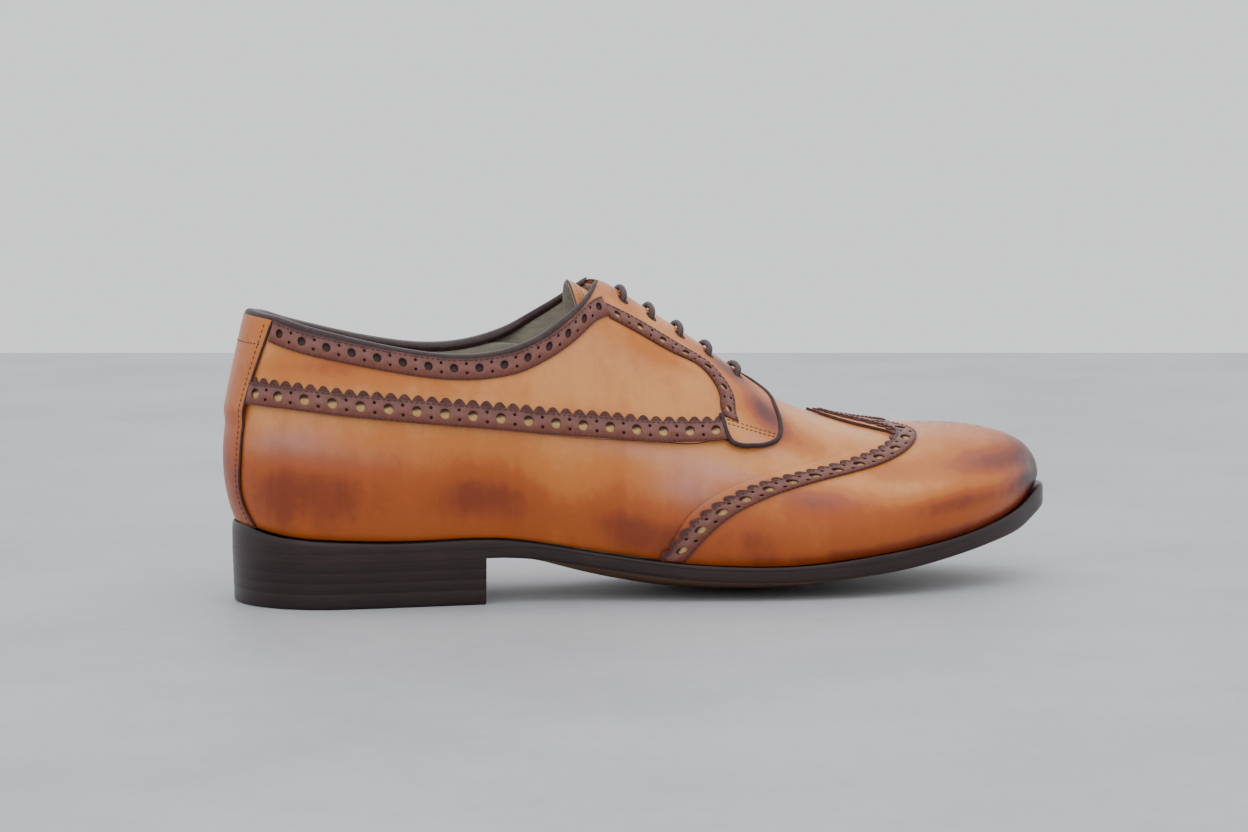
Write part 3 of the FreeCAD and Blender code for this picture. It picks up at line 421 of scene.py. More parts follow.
def plainMaterial(name, base, rough, metal=0.0, scale=600.0, depth=0.2):
    material, tree, shader = newMaterial(name)
    fine = noise(tree, scale, 4, 0.6)
    dark = tuple(c * 0.7 for c in base)
    tree.links.new(ramp(tree, fine, [(0.3, dark), (0.7, base)]), shader.inputs["Base Color"])
    setLook(shader, {"Roughness": rough, "Metallic": metal})
    bump(tree, shader, fine, depth, 0.0002)
    return material


def threadMaterial(name, base):
    material, tree, shader = newMaterial(name)
    fine = noise(tree, 3000, 2, 0.5)
    tree.links.new(ramp(tree, fine, [(0.3, tuple(c * 0.6 for c in base)), (0.7, base)]),
                   shader.inputs["Base Color"])
    setLook(shader, {"Roughness": 0.6})
    bump(tree, shader, fine, 0.3, 0.0001)
    return material


# round waxed braid: two crossing sets of plaits from the tube's own mapping
def laceMaterial():
    material, tree, shader = newMaterial("laceBraid")
    place = node(tree, "ShaderNodeUVMap", uv_map="braid").outputs[0]
    split = node(tree, "ShaderNodeSeparateXYZ", {"Vector": place})
    around, along = split.outputs[0], split.outputs[1]
    plaits = []
    for turn in (1, -1):
        lean = math2(tree, "ADD", along, math2(tree, "MULTIPLY", around, 6 * turn))
        plaits.append(math2(tree, "ABSOLUTE", math2(tree, "SINE", math2(tree, "MULTIPLY", lean, math.pi))))
    height = math2(tree, "MAXIMUM", plaits[0], plaits[1])
    # plait tops lighter and grooves darker: painted shade in the grooves and painted highlight on the tops
    colour = ramp(tree, height, [(0.3, (0.016, 0.008, 0.007)), (0.95, (0.070, 0.034, 0.030))])
    tree.links.new(colour, shader.inputs["Base Color"])
    setLook(shader, {"Roughness": 0.5})
    bump(tree, shader, height, 0.6, 0.0003)
    return material


# underlay seen at the bottom of a hole, dark where the hole's wall shades it
def floorLeather(name, lit, shaded):
    material, tree, shader = newMaterial(name)
    shade = node(tree, "ShaderNodeAttribute", attribute_name="shade").outputs["Fac"]
    fine = noise(tree, 900, 3, 0.6)
    uneven = math2(tree, "MULTIPLY", math2(tree, "SUBTRACT", fine, 0.5), 0.5)
    mixed = math2(tree, "ADD", shade, uneven, clamp=True)
    middle = tuple((p + q) / 2.6 for p, q in zip(lit, shaded))
    colour = ramp(tree, mixed, [(0.0, lit), (0.45, middle), (0.9, shaded)])
    tree.links.new(colour, shader.inputs["Base Color"])
    setLook(shader, {"Roughness": 0.75})
    bump(tree, shader, fine, 0.3, 0.0001)
    return material


tan = patinaAndHighlightLeather()
mauve = stripLeather()
edgeInk = darkLeather("edgeInk", (0.045, 0.020, 0.019), 0.38)
gimpDark = darkLeather("gimpedEdge", (0.060, 0.018, 0.013), 0.6)
piping = darkLeather("pipingLeather", (0.026, 0.0105, 0.011), 0.42)
paleUnderlay = floorLeather("paleHoleFloor", (0.66, 0.40, 0.14), (0.045, 0.016, 0.010))
# dark colour for the underlay and the lace hole discs: painted shade inside small holes
holeShadeUnderlay = darkLeather("holeShadeUnderlay", (0.030, 0.014, 0.012), 0.7)
darkFloor = floorLeather("darkHoleFloor", (0.055, 0.024, 0.018), (0.008, 0.005, 0.005))
paleDot = darkLeather("paleDot", (0.80, 0.66, 0.48), 0.6)
dotRim = darkLeather("dotRim", (0.150, 0.045, 0.028), 0.5)
greyLining = liningLeather("greyLining", (0.46, 0.42, 0.34))
brownSuede = liningLeather("brownSuede", (0.060, 0.036, 0.030), 0.85)
inkEdge = inkedSole("inkedSole")
inkHeel = inkedSole("inkedHeel", (0.0085, 0.0040, 0.0040))
soleBottom = plainMaterial("soleLeather", (0.17, 0.080, 0.036), 0.5, 0.0, 260.0, 0.25)
blackRubber = plainMaterial("blackRubber", (0.028, 0.026, 0.026), 0.55)
stitchDark = threadMaterial("stitchDark", (0.085, 0.026, 0.020))
stitchTan = threadMaterial("stitchTan", (0.42, 0.20, 0.09))
braid = laceMaterial()
print("materials made")


# mesh helpers
def meshObject(name, points, faces, materials):
    data = bpy.data.meshes.new(name)
    data.from_pydata([tuple(p) for p in points], [], faces)
    data.update()
    made = bpy.data.objects.new(name, data)
    bpy.context.collection.objects.link(made)
    for material in materials:
        data.materials.append(material)
    data.shade_smooth()
    return made


def pick(made):
    bpy.ops.object.select_all(action="DESELECT")
    made.select_set(True)
    bpy.context.view_layer.objects.active = made


def pointValues(made, name, values):
    layer = made.data.attributes.new(name, "FLOAT", "POINT")
    layer.data.foreach_set("value", np.asarray(values, np.float32).ravel())


# writes the dye's darkness and the purple dye with painted highlight onto the points
def paint(made, dye):
    for name, values in zip(("burn", "purpleAndHighlight"), dye):
        pointValues(made, name, values)


def hold(made, body, nodes):
    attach(made, body)
    if nodes:
        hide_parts(*nodes)
    return made


# side faces and both ends of rings that follow each other
def tubeFaces(start, rings, sides):
    faces = []
    for i in range(rings - 1):
        for j in range(sides):
            a, b, k = start + i * sides, start + (i + 1) * sides, (j + 1) % sides
            faces.append((a + j, a + k, b + k, b + j))
    faces.append(tuple(start + j for j in range(sides - 1, -1, -1)))
    faces.append(tuple(start + (rings - 1) * sides + j for j in range(sides)))
    return faces


# rings round one middle: a fan first, then bands
def discFaces(start, rings, sides):
    faces = []
    for i in range(rings):
        for j in range(sides):
            a, b, k = start + i * sides, start + (i + 1) * sides, (j + 1) % sides
            faces.append((a + j, b + j, b + k, a + k) if i else (a, b + j, b + k))
    return faces


# a grid laid on the last by place(a, b), thickened outward and with softened edges
def bentSheet(name, place, na, nb, thickness, materials, outward, tone=None, bevel=0.00025):
    bpy.ops.object.select_all(action="DESELECT")
    bpy.ops.mesh.primitive_grid_add(x_subdivisions=na, y_subdivisions=nb, size=2)
    made = bpy.context.active_object
    made.name = made.data.name = name
    flat = np.zeros(len(made.data.vertices) * 3)
    made.data.vertices.foreach_get("co", flat)
    flat = flat.reshape(-1, 3)
    a, b = (flat[:, 0] + 1) / 2, (flat[:, 1] + 1) / 2
    points = place(a, b)
    made.data.vertices.foreach_set("co", points.ravel())
    if tone is not None:
        paint(made, tone(a, b))
    made.data.update()
    normals = np.zeros(len(made.data.polygons) * 3)
    made.data.polygons.foreach_get("normal", normals)
    centres = np.zeros(len(made.data.polygons) * 3)
    made.data.polygons.foreach_get("center", centres)
    facing = outward(a, b)
    first = np.array([p.vertices[0] for p in made.data.polygons])
    agree = np.einsum("ij,ij->i", normals.reshape(-1, 3), facing[first])
    if agree.sum() < 0:
        made.data.flip_normals()
    for material in materials:
        made.data.materials.append(material)
    pick(made)
    shell = made.modifiers.new("thickness", "SOLIDIFY")
    shell.thickness, shell.offset = thickness, 1.0
    shell.use_even_offset = False
    if len(materials) > 1:
        shell.material_offset_rim = 1
    bpy.ops.object.modifier_apply(modifier=shell.name)
    if bevel:
        soft = made.modifiers.new("edges", "BEVEL")
        soft.width, soft.segments, soft.angle_limit = bevel, 2, math.radians(50)
        bpy.ops.object.modifier_apply(modifier=soft.name)
    bpy.ops.object.shade_smooth_by_angle(angle=math.radians(48))
    return made


# a sheet between two lines on the last
def sheetBetween(name, low, high, na, nb, inside, outside, materials, tone=colouring):
    def where(a, b):
        (s0, v0), (s1, v1) = low(a), high(a)
        return s0 + (s1 - s0) * b, v0 + (v1 - v0) * b

    def outward(a, b):
        s, v = where(a, b)
        return at(s, v, 1.0) - at(s, v, 0.0)

    return bentSheet(name, lambda a, b: at(*where(a, b), inside), na, nb, (outside - inside) * mm,
                     materials, outward, (lambda a, b: tone(*where(a, b))) if tone else None)


def mirrorLine(line):
    def other(a):
        s, v = line(a)
        return -s, v
    return other


# round tube along close points
def tube(name, centre, radius, material, sides=12, uv=None):
    centre = np.asarray(centre)
    n = len(centre)
    tangent = np.gradient(centre, axis=0)
    tangent /= np.linalg.norm(tangent, axis=1, keepdims=True)
    up = np.array([0.0, 0.0, 1.0])
    side = np.cross(tangent[0], up)
    if np.linalg.norm(side) < 0.2:
        side = np.cross(tangent[0], [0, 1.0, 0])
    frameSide = [side / np.linalg.norm(side)]
    for i in range(1, n):
        carried = frameSide[-1] - tangent[i] * frameSide[-1].dot(tangent[i])
        frameSide.append(carried / np.linalg.norm(carried))
    frameSide = np.array(frameSide)
    frameUp = np.cross(tangent, frameSide)
    turn = np.linspace(0, 2 * math.pi, sides, endpoint=False)
    radius = np.broadcast_to(np.asarray(radius, float), (n,))
    points = (centre[:, None] + radius[:, None, None] * (np.cos(turn)[None, :, None] * frameSide[:, None]
              + np.sin(turn)[None, :, None] * frameUp[:, None])).reshape(-1, 3)
    made = meshObject(name, points, tubeFaces(0, n, sides), [material])
    if uv:
        layer = made.data.uv_layers.new(name=uv)
        lengths = runLength(centre)
        loop = 0
        for i in range(n - 1):
            for j in range(sides):
                for di, dj in ((0, 0), (0, 1), (1, 1), (1, 0)):
                    layer.data[loop].uv = ((j + dj) / sides, lengths[i + di] / mm / 1.5)
                    loop += 1
    return made


# points, tangents and normals at a steady pitch along a fine line
def evenly(points, normals, pitch):
    along = runLength(points)
    count = max(2, int(along[-1] / pitch))
    where = (np.arange(count) + 0.5) * along[-1] / count

    def read(values, place):
        return np.stack([np.interp(place, along, values[:, c]) for c in range(3)], 1)

    spot, up, near = read(points, where), read(normals, where), pitch * 0.2
    tangent = read(points, where + near) - read(points, where - near)
    tangent /= np.linalg.norm(tangent, axis=1, keepdims=True) + 1e-12
    up -= tangent * np.einsum("ij,ij->i", up, tangent)[:, None]
    up /= np.linalg.norm(up, axis=1, keepdims=True) + 1e-12
    return spot, tangent, up


# every stitch of a group of seams as one small sunk capsule
def stitches(name, lines, material, pitch=1.95, length=1.45, radius=0.24, body="shoe"):
    rings = [(-0.5, 0.25, -0.55), (-0.36, 0.85, -0.12), (0.0, 1.0, 0.12), (0.36, 0.85, -0.12),
             (0.5, 0.25, -0.55)]      # along, wide, high
    sides = 6
    points, faces = [], []
    for line, normals in lines:
        spot, tangent, up = evenly(line, normals, pitch * mm)
        side = np.cross(tangent, up)
        for p, q, u, r in zip(spot, tangent, up, side):
            start = len(points)
            lean = random.uniform(-0.05, 0.05)
            q = q + r * lean
            for along, wide, high in rings:
                middle = p + q * along * length * mm + u * high * radius * mm
                for j in range(sides):
                    angle = 2 * math.pi * j / sides
                    around = r * math.cos(angle) + u * math.sin(angle) * 0.8
                    points.append(middle + around * wide * radius * mm)
            faces += tubeFaces(start, len(rings), sides)
    return hold(meshObject(name, points, faces, [material]), body, ())


# points of a line with their outward directions
def raised(place, x, y, t):
    low, high = place(x, y, t), place(x, y, t + 1)
    return low, (high - low) / mm


# punched and gimped strips
# a strip's own flat frame: u along its stitched edge, y across it, both in mm
class Band:
    def __init__(self, low, high, place):
        self.low, self.high, self.place = low, high, place
        a = np.linspace(0, 1, 400)
        s, v = low(a)
        points = place(s, v, 1.0) / mm
        self.a, self.along = a, runLength(points)
        s1, v1 = high(a)
        self.wide = np.linalg.norm(place(s1, v1, 1.0) / mm - points, axis=1)
        self.length = self.along[-1]

    def where(self, u, y):
        a = np.interp(u, self.along, self.a)
        b = np.asarray(y) / np.interp(a, self.a, self.wide)
        (s0, v0), (s1, v1) = self.low(a), self.high(a)
        return s0 + (s1 - s0) * b, v0 + (v1 - v0) * b

    def point(self, u, y, t):
        s, v = self.where(u, y)
        return self.place(s, v, t)

    def line(self, y, t, count=260):
        return raised(self.point, np.linspace(0.0, self.length, count), np.full(count, y), t)


# flat leather cut to an edge and punched: points, triangles and which points lie on a cut
def cutFlat(edge, holes, spacing=1.7):
    edge = np.array(edge)
    points, edges, rim = [], [], []

    def loop(ring, isRim):
        start = len(points)
        for p in ring:
            points.append(Vector((float(p[0]), float(p[1]))))
            rim.append(isRim)
        for i in range(len(ring)):
            edges.append((start + i, start + (i + 1) % len(ring)))

    loop(edge, True)
    for x, y, r, sides in holes:
        turn = np.linspace(0, 2 * math.pi, sides, endpoint=False)
        circle = np.stack([x + r * np.cos(turn), y + r * np.sin(turn)], 1)
        loop(circle, True)
        wider = np.stack([x + (r + 0.28) * np.cos(turn), y + (r + 0.28) * np.sin(turn)], 1)
        for p in wider:
            points.append(Vector((float(p[0]), float(p[1]))))
            rim.append(False)
    low, high = edge.min(0), edge.max(0)
    marksX = np.arange(low[0] + spacing / 2, high[0], spacing)
    marksY = np.linspace(low[1] + 0.35, high[1] - 0.35, max(3, int((high[1] - low[1]) / spacing) + 1))
    spots = np.array([(x, y) for x in marksX for y in marksY])
    keep = insideOf(spots, edge, 0.3)
    for x, y, r, _ in holes:
        keep &= np.hypot(spots[:, 0] - x, spots[:, 1] - y) > r + 0.75
    for p in spots[keep]:
        points.append(Vector((float(p[0]), float(p[1]))))
        rim.append(False)
    out = delaunay_2d_cdt(points, edges, [list(range(len(edge)))], 1, 1e-5)
    flat = np.array([tuple(p) for p in out[0]])
    onRim = np.zeros(len(flat), bool)
    for i, sources in enumerate(out[3]):
        onRim[i] = any(rim[k] for k in sources)
    middle = np.array([flat[list(f)].mean(0) for f in out[2]])
    keepFace = insideOf(middle, edge, 0.0)
    for x, y, r, _ in holes:
        keepFace &= np.hypot(middle[:, 0] - x, middle[:, 1] - y) > r * 0.97
    triangles = [f for f, good in zip(out[2], keepFace) if good]
    return flat, triangles, onRim


# which spots lie inside a closed outline, and further than margin from its corners
def insideOf(spots, edge, margin):
    x, y = spots[:, 0][:, None], spots[:, 1][:, None]
    x0, y0 = edge[:, 0][None], edge[:, 1][None]
    x1, y1 = np.roll(edge[:, 0], -1)[None], np.roll(edge[:, 1], -1)[None]
    crosses = ((y0 > y) != (y1 > y)) & (x < (x1 - x0) * (y - y0) / (y1 - y0 + 1e-12) + x0)
    inside = crosses.sum(1) % 2 == 1
    if margin:
        inside &= np.hypot(x - x0, y - y0).min(1) > margin
    return inside


# bends flat cut leather round the last and closes its cut edges
def cutPiece(name, band, edge, holes, inside, outside, material, rimMaterial, drop=0.14):
    flat, triangles, onRim = cutFlat(edge, holes)
    n = len(flat)
    top = band.point(flat[:, 0], flat[:, 1], np.where(onRim, outside - drop, outside))
    base = band.point(flat[:, 0], flat[:, 1], inside)
    used = {}
    for f in triangles:
        for i in range(3):
            key = (f[i], f[(i + 1) % 3])
            used[key] = used.get(key, 0) + 1
    walls = [(a, b) for (a, b) in used if (b, a) not in used]
    faces = [tuple(f) for f in triangles] + [(f[2] + n, f[1] + n, f[0] + n) for f in triangles]
    faces += [(b, a, a + n, b + n) for a, b in walls]
    made = meshObject(name, np.concatenate([top, base]), faces, [material, rimMaterial])
    first = triangles[len(triangles) // 2]
    p = [top[k] for k in first]
    s, v = band.where(flat[first[0], 0], flat[first[0], 1])
    out = band.place(s, v, 1.0) - band.place(s, v, 0.0)
    if np.dot(np.cross(p[1] - p[0], p[2] - p[0]), out) < 0:
        made.data.flip_normals()
    for i in range(2 * len(triangles), len(faces)):
        made.data.polygons[i].material_index = 1
    height = flat[:, 1] / flat[:, 1].max()
    pointValues(made, "rise", np.concatenate([height, height]))
    pick(made)
    bpy.ops.object.shade_smooth_by_angle(angle=math.radians(50))
    return made


def straightEdge(length, low, high, step=1.2):
    count = max(4, int(length / step))
    u = np.linspace(0, length, count)
    side = np.linspace(low, high, 5)[1:-1]
    return ([(x, low) for x in u] + [(length, y) for y in side] + [(x, high) for x in u[::-1]]
            + [(0.0, y) for y in side[::-1]])


# straight lower side, pinked teeth along the upper one
def gimpedEdge(length, low, root, pitch, height):
    teeth = int(round(length / pitch))
    pitch = length / teeth
    lower = [(x, low) for x in np.linspace(0, length, max(4, int(length / 1.4)))]
    upper = []
    for i in range(teeth - 1, -1, -1):
        for f, h in ((0.97, 0.0), (0.86, 0.42), (0.73, 0.80), (0.60, 0.97), (0.5, 1.0), (0.40, 0.97),
                     (0.27, 0.80), (0.14, 0.42), (0.03, 0.0)):
            upper.append(((i + f) * pitch, root + height * h))
    return lower + [(length, low + 0.1)] + upper + [(0.0, low + 0.1)]


# big holes with a pair of small ones between them
def punches(length, cut):
    holes = []
    middle, spread, small, lead = cut["middle"], cut["spread"], cut["small"], cut["lead"]
    count = int((length - 2 * lead) / cut["pitch"])
    step = (length - 2 * lead) / count
    for i in range(count + 1):
        u = lead + i * step
        holes.append((u, middle, cut["big"], 18))
        if i < count:
            holes.append((u + step / 2, middle + spread, small, 8))
            holes.append((u + step / 2, middle - spread, small, 8))
    return holes


# what shows through the big holes: a disc each, in the hole's own shade along its upper side
def holeFloors(name, band, holes, level, material):
    points, faces, shade, sides = [], [], [], 16
    turn = np.linspace(0, 2 * math.pi, sides, endpoint=False)
    for x, y, r, _ in [h for h in holes if h[2] > 0.8]:
        start = len(points)
        for share in (0.0, 0.4, 0.75, 1.0, 1.16):
            u, w = x + r * share * np.cos(turn), y + r * share * np.sin(turn)
            points += list(band.point(u, w, level))
            upper = np.sin(turn) * share - 0.25 * np.cos(turn) * share
            shade += list(np.clip(0.15 + ease(upper, -0.05, 0.75), 0, 1))
        faces += discFaces(start, 4, sides)
    made = meshObject(name, points, faces, [material])
    pointValues(made, "shade", shade)
    middle = band.point(np.array([holes[0][0]]), np.array([holes[0][1]]), level + 1)[0]
    if np.dot(made.data.polygons[sides].normal, middle - np.array(points[0])) < 0:
        made.data.flip_normals()
    return made


# one punched strip with its underlay, its gimped ribbon and its two seams
def brogueStrip(name, low, high, place, cut, nodes, under, gimp=False):
    band = Band(trace(low), trace(high), place)
    wide, length = cut["width"], band.length
    holes = punches(length, cut)
    top = cut.get("top", 1.75)
    made = cutPiece(name, band, straightEdge(length, 0.0, wide), holes, top - 0.80, top, mauve, gimpDark,
                    0.16)
    hold(made, "shoe", nodes)
    # underlay coloured dark: painted shade seen through the small holes
    backing = cutPiece(name + "_underlay", band, straightEdge(length - 0.6, 0.5, wide - 0.5), [],
                       0.74, 0.82, holeShadeUnderlay, holeShadeUnderlay, 0.0)
    hold(backing, "shoe", ())
    hold(holeFloors(name + "_hole_floors", band, holes, 0.86, under), "shoe", ())
    if gimp:
        edge = gimpedEdge(length, wide - 1.6, wide - 0.1, 4.9, 2.05)
        ribbon = cutPiece(name + "_gimping", band, edge, [], 0.74, top - 0.42, gimpDark, gimpDark, 0.1)
        hold(ribbon, "shoe", ())
    rows = [band.line(0.55, top - 0.02), band.line(wide - 0.6, top - 0.02)]
    stitches(name + "_stitches", rows, stitchDark)
    return band


# upper leather
def wingLine(shift=0.0):
    c = Curve([(v, s) for s, v in [(167.5, -0.02)] + wingBack])
    return lambda w: c(1 - np.abs(w)) + shift


def makeVamp():
    low = trace([(0.15, 0.0), (60, 0.0), (120, 0.0), (177, 0.0)])
    high = trace([(0.15, 0.571)] + bandTop[1:] + [(197, 0.650)])
    edge = trace(bothSides([(177, 0.004)] + wingFront[1:]))
    back = trace(bothSides(throat))

    def where(a, b):
        sideShare = 0.36
        s, v = np.zeros(len(a)), np.zeros(len(a))
        for turn, part, run in ((1, a <= sideShare, lambda q: q / sideShare),
                                (-1, a >= 1 - sideShare, lambda q: (1 - q) / sideShare)):
            (s0, v0), (s1, v1) = low(run(a[part])), high(run(a[part]))
            s[part] = turn * (s0 + (s1 - s0) * b[part])
            v[part] = v0 + (v1 - v0) * b[part]
        front = (a > sideShare) & (a < 1 - sideShare)
        q = (a[front] - sideShare) / (1 - 2 * sideShare)
        (s0, w0), (s1, w1) = edge(q), back(q)
        ss, ww = s0 + (s1 - s0) * b[front], w0 + (w1 - w0) * b[front]
        s[front] = np.where(ww <= 0, ss, -ss)
        v[front] = 1 - np.abs(ww)
        return s, v

    made = bentSheet("vamp_leather", lambda a, b: at(*where(a, b), vampIn), 250, 34, 1.1 * mm, [tan, edgeInk],
                     lambda a, b: at(*where(a, b), 1) - at(*where(a, b), 0),
                     lambda a, b: colouring(*where(a, b)))
    hold(made, "shoe", ["vamp"])


def makeCap():
    line = wingLine(1.2)

    def where(a, b):
        w = -1 + 2 * a
        tip = half - 0.35
        return tip + (line(w) - tip) * b ** 1.35, w

    made = bentSheet("wing_cap_leather", lambda a, b: over(*where(a, b), quarterIn), 110, 76, 1.1 * mm,
                     [tan, edgeInk], lambda a, b: over(*where(a, b), 1) - over(*where(a, b), 0),
                     lambda a, b: colouring(where(a, b)[0], 1 - np.abs(where(a, b)[1])))
    hold(made, "shoe", ["wing_cap"])


def makeQuarters():
    for tag, turn in (("lateral", False), ("medial", True)):
        low = trace(bandLow + tabEnd)
        high = trace([(0.3, 0.727)] + topline[1:] + facingEdge)
        if turn:
            low, high = mirrorLine(low), mirrorLine(high)
        made = sheetBetween("quarter_" + tag + "_leather", low, high, 130, 40, quarterIn, quarterOut,
                            [tan, edgeInk])
        hold(made, "shoe", ["quarter_" + tag])


def makeStrips():
    sideCut = {"width": 7.9, "pitch": 10.0, "middle": 4.2, "big": 1.85, "small": 0.62, "spread": 1.75,
               "lead": 4.4}
    collarCut = {"width": 7.6, "pitch": 9.0, "middle": 4.2, "big": 1.55, "small": 0.58, "spread": 1.65,
                 "lead": 4.0}
    facingCut = {"width": 5.9, "pitch": 8.6, "middle": 3.0, "big": 1.25, "small": 0.5, "spread": 1.3,
                 "lead": 3.6, "top": 1.6}
    wingCut = {"width": 7.9, "pitch": 9.6, "middle": 4.2, "big": 1.8, "small": 0.62, "spread": 1.75,
               "lead": 5.0}
    collarRise = [(s, v + 0.009 * (1 - ease(s, 70, 120))) for s, v in collarLow[1:-1]]
    strips = {
        "side": ([(16.8, 0.484)] + bandLow[2:7] + [(171, 0.467), (181, 0.500), (190, 0.537), (197, 0.574)],
                 [(16.5, 0.562)] + bandTop[2:6] + [(191, 0.632), (197.5, 0.665)], sideCut, paleUnderlay),
        "collar": ([(23.5, 0.660)] + collarRise + [(150.8, 0.782), (156.2, 0.815)],
                   [(24.5, 0.703)] + topline[3:14] + [(149.9, 0.858), (151.8, 0.893)], collarCut, darkFloor),
        "facing": ([(156.0, 0.806)] + facingLow[1:-1] + [(196.4, 0.700), (197.0, 0.668)],
                   [(154.6, 0.864)] + facingHigh[1:-1] + [(204.6, 0.720), (205.0, 0.676)], facingCut,
                   paleUnderlay),
    }
    for tag, turn in (("lateral", 1), ("medial", -1)):
        for part, (low, high, cut, under) in strips.items():
            brogueStrip("%s_strip_%s" % (part, tag), [(s * turn, v) for s, v in low],
                        [(s * turn, v) for s, v in high], at, cut, ["brogue_strip_%s_%s" % (part, tag)],
                        under, gimp=part == "side")
    brogueStrip("wing_strip", bothSides(wingFront), bothSides(wingBack), over, wingCut, ["brogue_strip_wing"],
                paleUnderlay, gimp=True)


def makeBackStrip():
    width = Curve([(0, 17.6), (0.05, 15.2), (0.11, 13.4), (0.27, 14.4), (0.43, 15.3), (0.56, 17.7),
                   (0.67, 21.5), (0.73, 24.0)])

    def place(a, b, t=0.0):
        v = 0.002 + 0.724 * b
        s = (2 * a - 1) * width(v)
        v = v - 0.018 * b * (s / 24.5) ** 2
        level = quarterIn + 1.3 * ease(v, 0.40, 0.47)
        return at(s, v, level + t)

    made = bentSheet("back_strip_leather", place, 26, 70, 0.8 * mm, [tan, edgeInk],
                     lambda a, b: place(a, b, 1) - place(a, b, 0),
                     lambda a, b: (colouring((2 * a - 1) * 18, 0.72 * b)[0] * 0.75 + 0.24, 0 * a))
    hold(made, "shoe", ["back_strip"])
    b = np.linspace(0.01, 0.985, 140)
    lines = []
    for i, a in enumerate((0.0, 1.0)):
        edge = place(np.full(140, a), b, 0.45)
        hold(tube("back_strip_piping_%d" % (i + 1), edge, 0.46 * mm, piping, 10), "shoe", ())
        near = np.full(140, 0.07 if a == 0 else 0.93)
        lines.append(raised(place, near, b, 0.8))
    across = np.linspace(0.04, 0.96, 60)
    lines.append(raised(place, across, np.full(60, 0.915), 0.8))
    stitches("back_strip_stitches", lines, stitchDark)


def makeBindings():
    line = trace([(-s, v) for s, v in topline[:0:-1]] + topline)

    def rolled(a, b):
        # a folded strip: outside face, over the top, inside face
        s, v = line(a)
        thin = liningIn + (stayIn - liningIn) * ease(np.abs(s), 124, 137)
        turnRound = math.pi * np.clip((b - 0.25) / 0.5, 0, 1)
        middle, reach = (1.15 + thin) / 2, (1.15 - thin) / 2
        t = middle + reach * np.cos(turnRound)
        drop = np.where(b < 0.25, (0.25 - b) * 4, np.where(b > 0.75, (b - 0.75) * 6, 0))
        rise = 0.003 + 0.009 * np.sin(turnRound) - drop * 0.0065
        return at(s, v + rise, t)

    def outward(a, b):
        s, v = line(a)
        core = at(s, v + 0.006, -0.8)
        return rolled(a, b) - core

    made = bentSheet("topline_binding_leather", rolled, 260, 16, 0.35 * mm, [piping], outward, None, 0.0)
    hold(made, "shoe", ["topline_binding"])
    for tag, turn in (("lateral", 1), ("medial", -1)):
        edge = trace([(155.5, 0.950)] + facingEdge + tabEnd[:0:-1] + [(198.8, 0.570), (197.0, 0.600),
                                                                     (196.2, 0.640), (196.0, 0.668)])
        s, v = edge(np.linspace(0, 1, 420))
        run = np.linspace(0, 1, 420)
        lift = 0.10 + 0.50 * ease(run, 0.40, 0.47) + 0.75 * ease(run, 0.80, 0.86)
        thick = 0.50 + 0.42 * ease(run, 0.40, 0.47)
        roll = at(s * turn, v, lift)
        hold(tube("facing_piping_" + tag, roll, thick * mm, piping, 12), "shoe", ["facing_binding_" + tag])
    rows = []
    for turn in (1, -1):
        for bar in ([(198.0, 0.660), (208, 0.683), (218.9, 0.706)],
                    [(198.0, 0.645), (208, 0.667), (218.2, 0.690)]):
            s, v = trace(bar)(np.linspace(0, 1, 60))
            rows.append(raised(at, s * turn, v, quarterOut))
    stitches("tab_bar_stitches", rows, stitchDark, 1.7, 1.3)


def makeTongue():
    for name, deep, front, thickness, nodes, material in (
            ("tongue_leather", tongueOut - 1.0, 221.5, 1.0, ["tongue"], tan),
            ("tongue_lining_leather", tongueOut - 1.8, 207.0, 0.6, ["tongue_lining"], greyLining)):
        def where(a, b, front=front):
            end = 147.0 + 5.0 * (2 * a - 1) ** 4
            s = end + (front - end) * b
            width = 0.30 + 0.05 * ease(s, 145, 190)
            return s, -width + 2 * width * a

        def place(a, b, t=0.0, deep=deep, where=where):
            s, w = where(a, b)
            root = vampIn - 0.75 - 1.0
            return over(s, w, deep + (root - deep) * ease(s, 209.8, 215.5) + t)

        made = bentSheet(name, place, 50, 70, thickness * mm, [material, edgeInk],
                         lambda a, b: place(a, b, 1) - place(a, b, 0),
                         lambda a, b: (0.16 + 0.25 * np.exp(-((b - 0.9) / 0.2) ** 2), 0 * a))
        hold(made, "tongue", nodes)
    edge = np.linspace(0.04, 0.96, 70)
    rows = []
    for b0 in (0.03, 0.055):
        s = 147.0 + 5.0 * (2 * edge - 1) ** 4 + 74.5 * b0
        w = -0.28 + 0.56 * edge
        rows.append(raised(over, s, w, tongueOut))
    stitches("tongue_stitches", rows, stitchTan, body="tongue")


